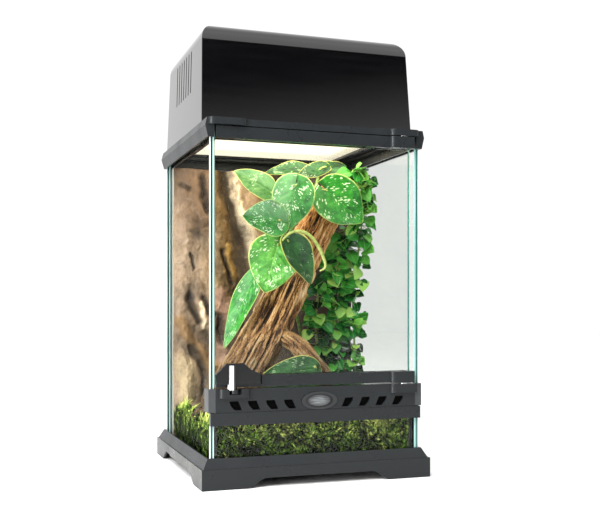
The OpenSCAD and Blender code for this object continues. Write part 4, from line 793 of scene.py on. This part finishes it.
vine = {
    "foot": 50.4, "radius": 1.6,
    "route": [(30, 34, 0), (30, 34, 6), (34, 33, 50), (22, 34, 110), (4, 34, 160), (2, 32, 205), (16, 22, 237),
              (34, -2, 243), (28, -10, 222), (12, -9, 196), (-2, -9, 172), (-16, -12, 150)],
    # vine point or place on the moss, stalk end, length, half width, tip and face directions, look, bow, cup, lobes
    "leaves": [
        (6, (-10, 6, 223), 46, 14.1, (-0.88, -0.22, 0.42), (-0.3, -0.9, 0.35), "young", 0.1, 0.14, 0.1),
        (8, (6, -20, 228), 46, 21.2, (-0.25, -0.13, -0.96), (-0.35, -1, 0.15), "silver", 0.12, 0.14, 0.27),
        (10, (-18, -46, 190), 38, 18.1, (-0.98, -0.16, 0.11), (-0.3, -1, 0.25), "silver", 0.1, 0.22, 0.24),
        # this leaf's look is painted light: brighter greens stand in for light it does not get
        (10.7, (-18, -38, 168), 48, 25, (-0.3, -0.08, -0.95), (-0.3, -1, 0.1), "bright", 0.12, 0.12, 0.22),
        (10.35, (-13, -52, 171), 47, 14.7, (0.55, -0.13, -0.82), (0.15, -1, -0.05), "dark", 0.3, 0.62, 0.14),
        (8, (40, -15, 225), 49, 25.1, (0.74, -0.21, -0.64), (-0.2, -1, 0.15), "fresh", 0.12, 0.12, 0.24),
        (11, (-32, -14, 142), 81, 12.2, (-0.47, -0.12, -0.88), (-0.75, -0.85, 0.1), "fresh", 0.1, 0.2, 0.08),
        (7, (34, 14, 248), 49, 11.5, (-0.98, -0.2, 0.03), (0, -0.75, 0.65), "dark", 0.2, 0.2, 0.1),
        (7, (46, 2, 251), 39, 9.5, (-0.9, -0.3, -0.31), (-0.2, -0.85, 0.5), "dark", 0.14, 0.2, 0.14),
        (7, (45, 9, 248), 25, 9.3, (0.89, -0.32, 0.25), (0, -0.85, 0.55), "dark", 0.1, 0.2, 0.14),
        ((27, -40), (18, -45, 49), 60, 14.5, (-0.98, -0.08, -0.14), (-0.2, -0.9, 0.45), "dark", 0.1, 0.2, 0.1),
    ],
    "looks": {  # shade, full green, lit green, silver flecks, rim, how far flecks cover, painted sheen of silver over one half
        "young": ("#245c22", "#4a7d3f", "#688f4f", "#bcd8a6", "#c9c674", 0.2, 0.3),
        "silver": ("#0d4016", "#2c7a31", "#4f9a48", "#d6e8cc", "#a3bf6e", 0.8, 0.42),
        # painted light: greens brighter than the others, for a leaf that lies in shade
        "bright": ("#2a6a1a", "#4b9a30", "#82c453", "#e6f2cf", "#c3cf74", 0.9, 0.1),
        "fresh": ("#0f4f16", "#23801f", "#479f31", "#dfeccb", "#a9bd64", 0.9, 0.1),
        "dark": ("#08240d", "#17491a", "#2f6a26", "#a9c294", "#bdb95f", 0.3, 0.08),
    },
    # the margin of the fifth leaf, curled over towards the front
    "curl": [(-21, -55, 168), (-14, -57, 176), (-4, -57.5, 179.5), (7, -57, 176), (16, -56.5, 166), (22, -56, 154.5),
             (24, -55, 146), (19, -54, 142)],
    "rows": 40, "columns": 28, "thickness": 0.55,
}


def greenStem(name, light, dark):
    # living stem: waxy, striped lengthways
    material, tree, shader, coords = newMaterial(name, Roughness=0.42, IOR=1.42)
    stripes = addNode(tree, "TexNoise", {"Vector": coords, "Scale": per(3), "Detail": 4})
    setNode(shader, {"Base Color": addNode(tree, "ValToRGB", {"Fac": stripes, "stops": [(0.35, dark), (0.65, light)]})})
    return material


def satinLeaf(name, deep, full, lit, silver, margin, cover, haze):
    # satin pothos leaf: velvety green, silver dashes in clusters between the side veins, a thin pale rim
    material, tree, shader, coords = newMaterial(name, Roughness=0.36, IOR=1.45)
    place = addNode(tree, "SeparateXYZ", {0: addNode(tree, "UVMap", {"uv_map": "blade"})})
    x, y = place.outputs["X"], place.outputs["Y"]
    across = addNode(tree, "Math", {0: x, "operation": "ABSOLUTE"})
    cloud = addNode(tree, "TexNoise", {"Vector": coords, "Scale": per(8), "Detail": 6, "Roughness": 0.72})
    green = addNode(tree, "ValToRGB", {"Fac": cloud, "stops": [(0.34, deep), (0.52, full), (0.7, lit)]})
    slant = addNode(tree, "Math", {0: across, 2: y, "operation": "MULTIPLY_ADD", 1: -0.42})
    dashes = addNode(tree, "CombineXYZ", {"X": x, "Y": slant})
    stretch = addNode(tree, "Mapping", {"Vector": dashes, "Scale": (8.5, 23.0, 1.0)})
    flecks = addNode(tree, "TexVoronoi", {"Vector": stretch, "Scale": 1})
    patchy = addNode(tree, "TexNoise", {"Vector": coords, "Scale": per(9), "Detail": 1})
    size = addNode(tree, "MapRange", {"Value": patchy, "From": (0.56 - 0.22 * cover, 0.62), "To": (0, 0.46)})
    inside = addNode(tree, "Math", {0: size, 1: flecks, "operation": "SUBTRACT"})
    waves = addNode(tree, "Math", {0: slant, "operation": "MULTIPLY", 1: 40.0})
    veins = addNode(tree, "Math", {0: waves, "operation": "SINE"})
    final = paintCoats(
        tree, green,
        # painted sheen: a silver haze over one half of the blade
        (x, 0.25, -0.5, haze, "#8fb990", "SMOOTHSTEP"),
        (inside, 0, 0.1, 0.75, silver),
        (veins, 0.9, 1, 0.3, lit),
        (across, 0.04, 0.015, 0.55, lit),  # midrib
        (across, 0.945, 0.985, 1, margin))
    puckers = addNode(tree, "Bump", {"Height": cloud, "Strength": 0.5, "Distance": 0.9 * mm})
    setNode(shader, {"Base Color": final, "Normal": puckers})
    return material


def vinePoint(k):
    # a place on the vine between two of its points
    low = min(len(vine["route"]) - 2, int(k))
    first, second = Vector(vine["route"][low]), Vector(vine["route"][low + 1])
    return first.lerp(second, k - low) + Vector((0, 0, vine["foot"]))


def smoothRoute(route, steps):
    # a smooth line through all points
    points = []
    n = len(route)
    for k in range(n - 1):
        four = route[max(0, k - 1)], route[k], route[k + 1], route[min(n - 1, k + 2)]
        points += [spline(*four, s / steps) for s in range(steps)]
    return points + [route[-1]]


def tubeMesh(line, radius, sides, points, faces, knots=0.0):
    # a round tube along a line; knots swell it at even steps
    start = len(points)
    side = (line[1] - line[0]).normalized().orthogonal().normalized()
    for i, centre in enumerate(line):
        direction = (line[min(i + 1, len(line) - 1)] - line[max(i - 1, 0)]).normalized()
        side = (side - direction * side.dot(direction)).normalized()
        across = direction.cross(side)
        swell = 1 + knots * max(0, math.cos(i * 0.9)) ** 6
        points += ringOf(centre, side, across, radius * swell, sides)
    faces += tubeFaces(len(line), sides, start)


def bladeMesh(base, length, half, tip, face, rows, cols, points, faces, coords, bow, cup, lobe):
    # heart-shaped blade: a grid across and along the midrib, drawn in to a point at the tip
    tip, face = Vector(tip).normalized(), Vector(face)
    side = face.cross(tip).normalized()
    up = tip.cross(side)
    start = len(points)
    for j in range(rows + 1):
        t = j / rows
        width = half * max(0.0, math.sin(math.pi * t ** 0.62)) ** 0.75 if j < rows else 0.15
        width = max(width, 0.6 * (1 - t) + 0.15)
        for i in range(cols + 1):
            s = 2 * i / cols - 1
            back = lobe * length * (1 - t) ** 3 * abs(s) ** 1.4
            quilt = 0.022 * half * math.sin(40 * (t - 0.42 * abs(s))) * (1 - abs(s)) * 4 * t * (1 - t)
            groove = -0.05 * half * math.exp(-(s / 0.08) ** 2) * (1 - t)
            wave = 0.07 * half * math.sin(11 * t + 2.4 * s + half) * s * s
            points.append(base + tip * (length * t - back) + side * width * s
                          + up * (-length * bow * t * t + cup * width * s * s + quilt + groove + wave))
            coords.append((s, t))
    faces += gridFaces(rows + 1, cols + 1, start)


def makeVine():
    points, faces = [], []
    line = smoothRoute([vinePoint(k) for k in range(len(vine["route"]))], 10)
    tubeMesh(line, vine["radius"], 12, points, faces, 0.12)
    makePiece("satinVine", points, faces, greenStem("satinVineStem", "#8aa552", "#5f7a36"), ("vine_stem",))
    looks = {name: satinLeaf(f"satinPothosLeaf{name.capitalize()}", *look) for name, look in vine["looks"].items()}
    stalkLook = greenStem("leafStalk", "#c3c778", "#8da24c")
    for number, (k, base, length, half, tip, face, look, bow, cup, lobe) in enumerate(vine["leaves"]):
        base = Vector(base) + Vector((0, 0, vine["foot"]))
        points, faces, coords = [], [], []
        bladeMesh(base, length, half, tip, face, vine["rows"], vine["columns"], points, faces, coords, bow, cup, lobe)
        rooted = isinstance(k, tuple)  # the leaf that grows from the moss is a piece of the scene's own
        replaced = () if rooted else ("satin_leaves",)
        blade = makePiece(f"satinLeaf{number + 1}", points, faces, looks[look], replaced, coords=coords)
        thicken(blade, vine["thickness"])
        root = Vector((*k, mossHeight(*k) + 0.5)) if rooted else vinePoint(k)
        reach = (base - root).normalized()
        middle = (root + base) / 2 + Vector((0, 0, 2))
        points, faces = [], []
        line = smoothRoute([root + reach * 1.0, middle, base, base + Vector(tip).normalized() * 1.5], 6)
        tubeMesh(line, 0.9, 8, points, faces)
        makePiece(f"satinStalk{number + 1}", points, faces, stalkLook, replaced)
    makeCurl(stalkLook)


def makeCurl(look):
    # a rolled margin: a tube that thins towards both ends
    line = smoothRoute([Vector(p) + Vector((0, 0, vine["foot"])) for p in vine["curl"]], 8)
    points, faces = [], []
    tubeMesh(line, 1.7, 10, points, faces)
    last = len(line) - 1
    for i, centre in enumerate(line):
        thin = 0.25 + 0.75 * math.sin(math.pi * (0.08 + 0.84 * i / last))
        for k in range(10):
            points[10 * i + k] = centre + (points[10 * i + k] - centre) * thin
    makePiece("satinLeafCurl", points, faces, look, ("satin_leaves",))


makeVine()
print("stage 7: satin vine")


# creeper

creeper = {
    "radius": 1.1, "right": 96,
    "routes": [[(-9, 34, 0), (-9, 34, 5), (-7, 30, 60), (-10, 26, 120), (-7, 14, 180), (-9, 0, 222), (-14, -4, 248)],
               [(-27, 30, 0), (-27, 30, 5), (-30, 34, 50), (-25, 30, 105), (-28, 26, 150), (-22, 20, 190)],
               [(-50, 26, 0), (-50, 26, 5), (-46, 32, 45), (-52, 28, 90), (-47, 30, 130)]],
    "foot": 51, "leaves": [210, 130, 90], "length": (7, 16), "thickness": 0.35,
    "crown": 2.5,  # mm longer towards the top
}


def creeperLeafLook():
    # small glossy leaves: each its own green, with painted light and shade in it, and a light midrib
    material, tree, shader, _ = newMaterial("glossyCreeperLeaf", Roughness=0.26, IOR=1.45)
    place = addNode(tree, "SeparateXYZ", {0: addNode(tree, "UVMap", {"uv_map": "blade"})})
    across = addNode(tree, "Math", {0: place.outputs["X"], "operation": "ABSOLUTE"})
    colour = addNode(tree, "ValToRGB", {
        "Fac": addNode(tree, "VertexColor", {"layer_name": "tone"}),
        "stops": [(0.0, "#04180b"), (0.25, "#124a1e"), (0.5, "#2b8433"), (0.75, "#57aa40"), (1.0, "#a9d268")]})
    setNode(shader, {"Base Color": paintCoats(tree, colour, (across, 0.12, 0.03, 0.35, "#8cc46a"))})
    return material


def makeCreeper():
    chance = random.Random(21)
    stemPoints, stemFaces = [], []
    points, faces, coords, tones = [], [], [], []
    for route, count in zip(creeper["routes"], creeper["leaves"]):
        line = smoothRoute([Vector(p) + Vector((creeper["right"], 0, creeper["foot"])) for p in route], 8)
        tubeMesh(line, creeper["radius"], 8, stemPoints, stemFaces, 0.3)
        for i in range(count):
            at = line[6 + int((len(line) - 7) * (i + 0.5) / count)]
            turn = 238 + chance.uniform(-85, 75)
            out = Vector((cosDeg(turn), sinDeg(turn), chance.uniform(-0.5, 0.6))).normalized()
            length = chance.uniform(*creeper["length"]) + creeper["crown"] * (at.z / 300) ** 4
            base = at + out * (creeper["radius"] + chance.uniform(2, 13))
            base.x = min(base.x, creeper["right"] - 5)
            tip = (out + Vector((chance.gauss(0, 0.5), 0, chance.uniform(-1.2, 0.4)))).normalized()
            face = Vector((chance.gauss(0, 0.4) - 0.25, -0.9, chance.gauss(0.55, 0.4)))
            before = len(points)
            bladeMesh(base, length, length * 0.46, tip, face, 7, 6, points, faces, coords, 0.12, 0.25, 0.1)
            for k in range(before, len(points)):
                points[k].x = min(points[k].x, creeper["right"] - 0.6)
            outward = (base - at).length / 15
            # painted light and shade: leaves that stand out from the stem and those on the right are brighter, those
            # low down darker
            lit = 0.42 * outward + 0.12 * (base.x / creeper["right"]) - 0.12 * (base.z < 140)
            tones += [min(1, max(0.0, chance.gauss(0.24, 0.26) + lit))] * (len(points) - before)
            twig = [at, at + out * (creeper["radius"] + 1), base, base + tip * 1.0]
            tubeMesh(twig, 0.4, 5, stemPoints, stemFaces)
    stemLook = greenStem("creeperStem", "#a3b56a", "#6f8a48")
    makePiece("creeperStems", stemPoints, stemFaces, stemLook, ("creeper_stems",))
    look = creeperLeafLook()
    leaves = makePiece("creeperLeaves", points, faces, look, ("creeper_leaves",), tones, coords)
    thicken(leaves, creeper["thickness"])


makeCreeper()
print("stage 8: creeper")


# fine meshes

nets = {  # axes of the net's plane, pitch and wire in mm, body, finish, slot
    "screenNet": ("screen_mesh", (0, 1), 2.8, 0.3, "screen", "mesh", "mesh_steel"),
    "ventNet": ("vent_mesh", (0, 2), 0.9, 0.72, "tank", "blackMesh", "steel"),
}


def wireNet(name, node, plane, pitch, wire, body, look, slot):
    # woven net: wires that cross over and under by half their thickness
    low, high = (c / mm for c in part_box(node))
    thin = 3 - sum(plane)
    points, faces = [], []
    for along, other, level in ((*plane, -0.3 * wire), (*plane[::-1], 0.3 * wire)):
        count = int((high[other] - low[other]) / pitch)
        for k in range(count):
            faces += tubeFaces(2, 4, len(points))
            for end in (low[along], high[along]):
                for aside, lift in ((-1, -1), (1, -1), (1, 1), (-1, 1)):
                    point = [end] * 3
                    point[other] = low[other] + (k + 0.5) * (high[other] - low[other]) / count + aside * wire / 2
                    point[thin] = (low[thin] + high[thin]) / 2 + level + lift * wire / 2
                    points.append(point)
    makePiece(name, points, faces, rigidLooks[look], (node,), body=body, smooth=False)


for name, settings in nets.items():
    wireNet(name, *settings)
print("stage 9: nets")


# small rigid details of the front

details = {
    "fin": [(-85.5, -107.0), (-80.9, -110.7), (-79.6, -110.7), (-78.6, -107.0)],  # plan of the finger ridge, mm
    "finLow": 86.2, "finHigh": 107.6, "finTaper": 0.97,  # the ridge narrows towards its top
    "bead": 3.2, "beadLow": 26, "beadHigh": 62,  # sealant that shows beside the lower front pane
}


def makeDetails(size):
    polished = mouldedPlastic("polishedKnobAbs", "#08090a", 0.07, 0.5, 0.0, 0.75)
    points = []
    for z, share in ((size["finLow"], 1.0), (size["finHigh"], size["finTaper"])):
        middle = sum(x for x, _ in size["fin"]) / 4
        points += [(middle + (x - middle) * share, y, z) for x, y in size["fin"]]
    faces = tubeFaces(2, 4)
    makePiece("latchKnobRidge", points, faces, polished, body="latch", smooth=False)
    low, high = (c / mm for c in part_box("front_glass"))
    for name, x in (("sealantBeadLeft", low.x), ("sealantBeadRight", high.x - size["bead"])):
        points = [(x + size["bead"] * a, high.y + 0.1 + size["bead"] * b, z)
                  for z in (size["beadLow"], size["beadHigh"]) for a, b in ((0, 0), (1, 0), (1, 1), (0, 1))]
        makePiece(name, points, faces, rigidLooks["silicone"], smooth=False)


makeDetails(details)
print("stage 10: small details")
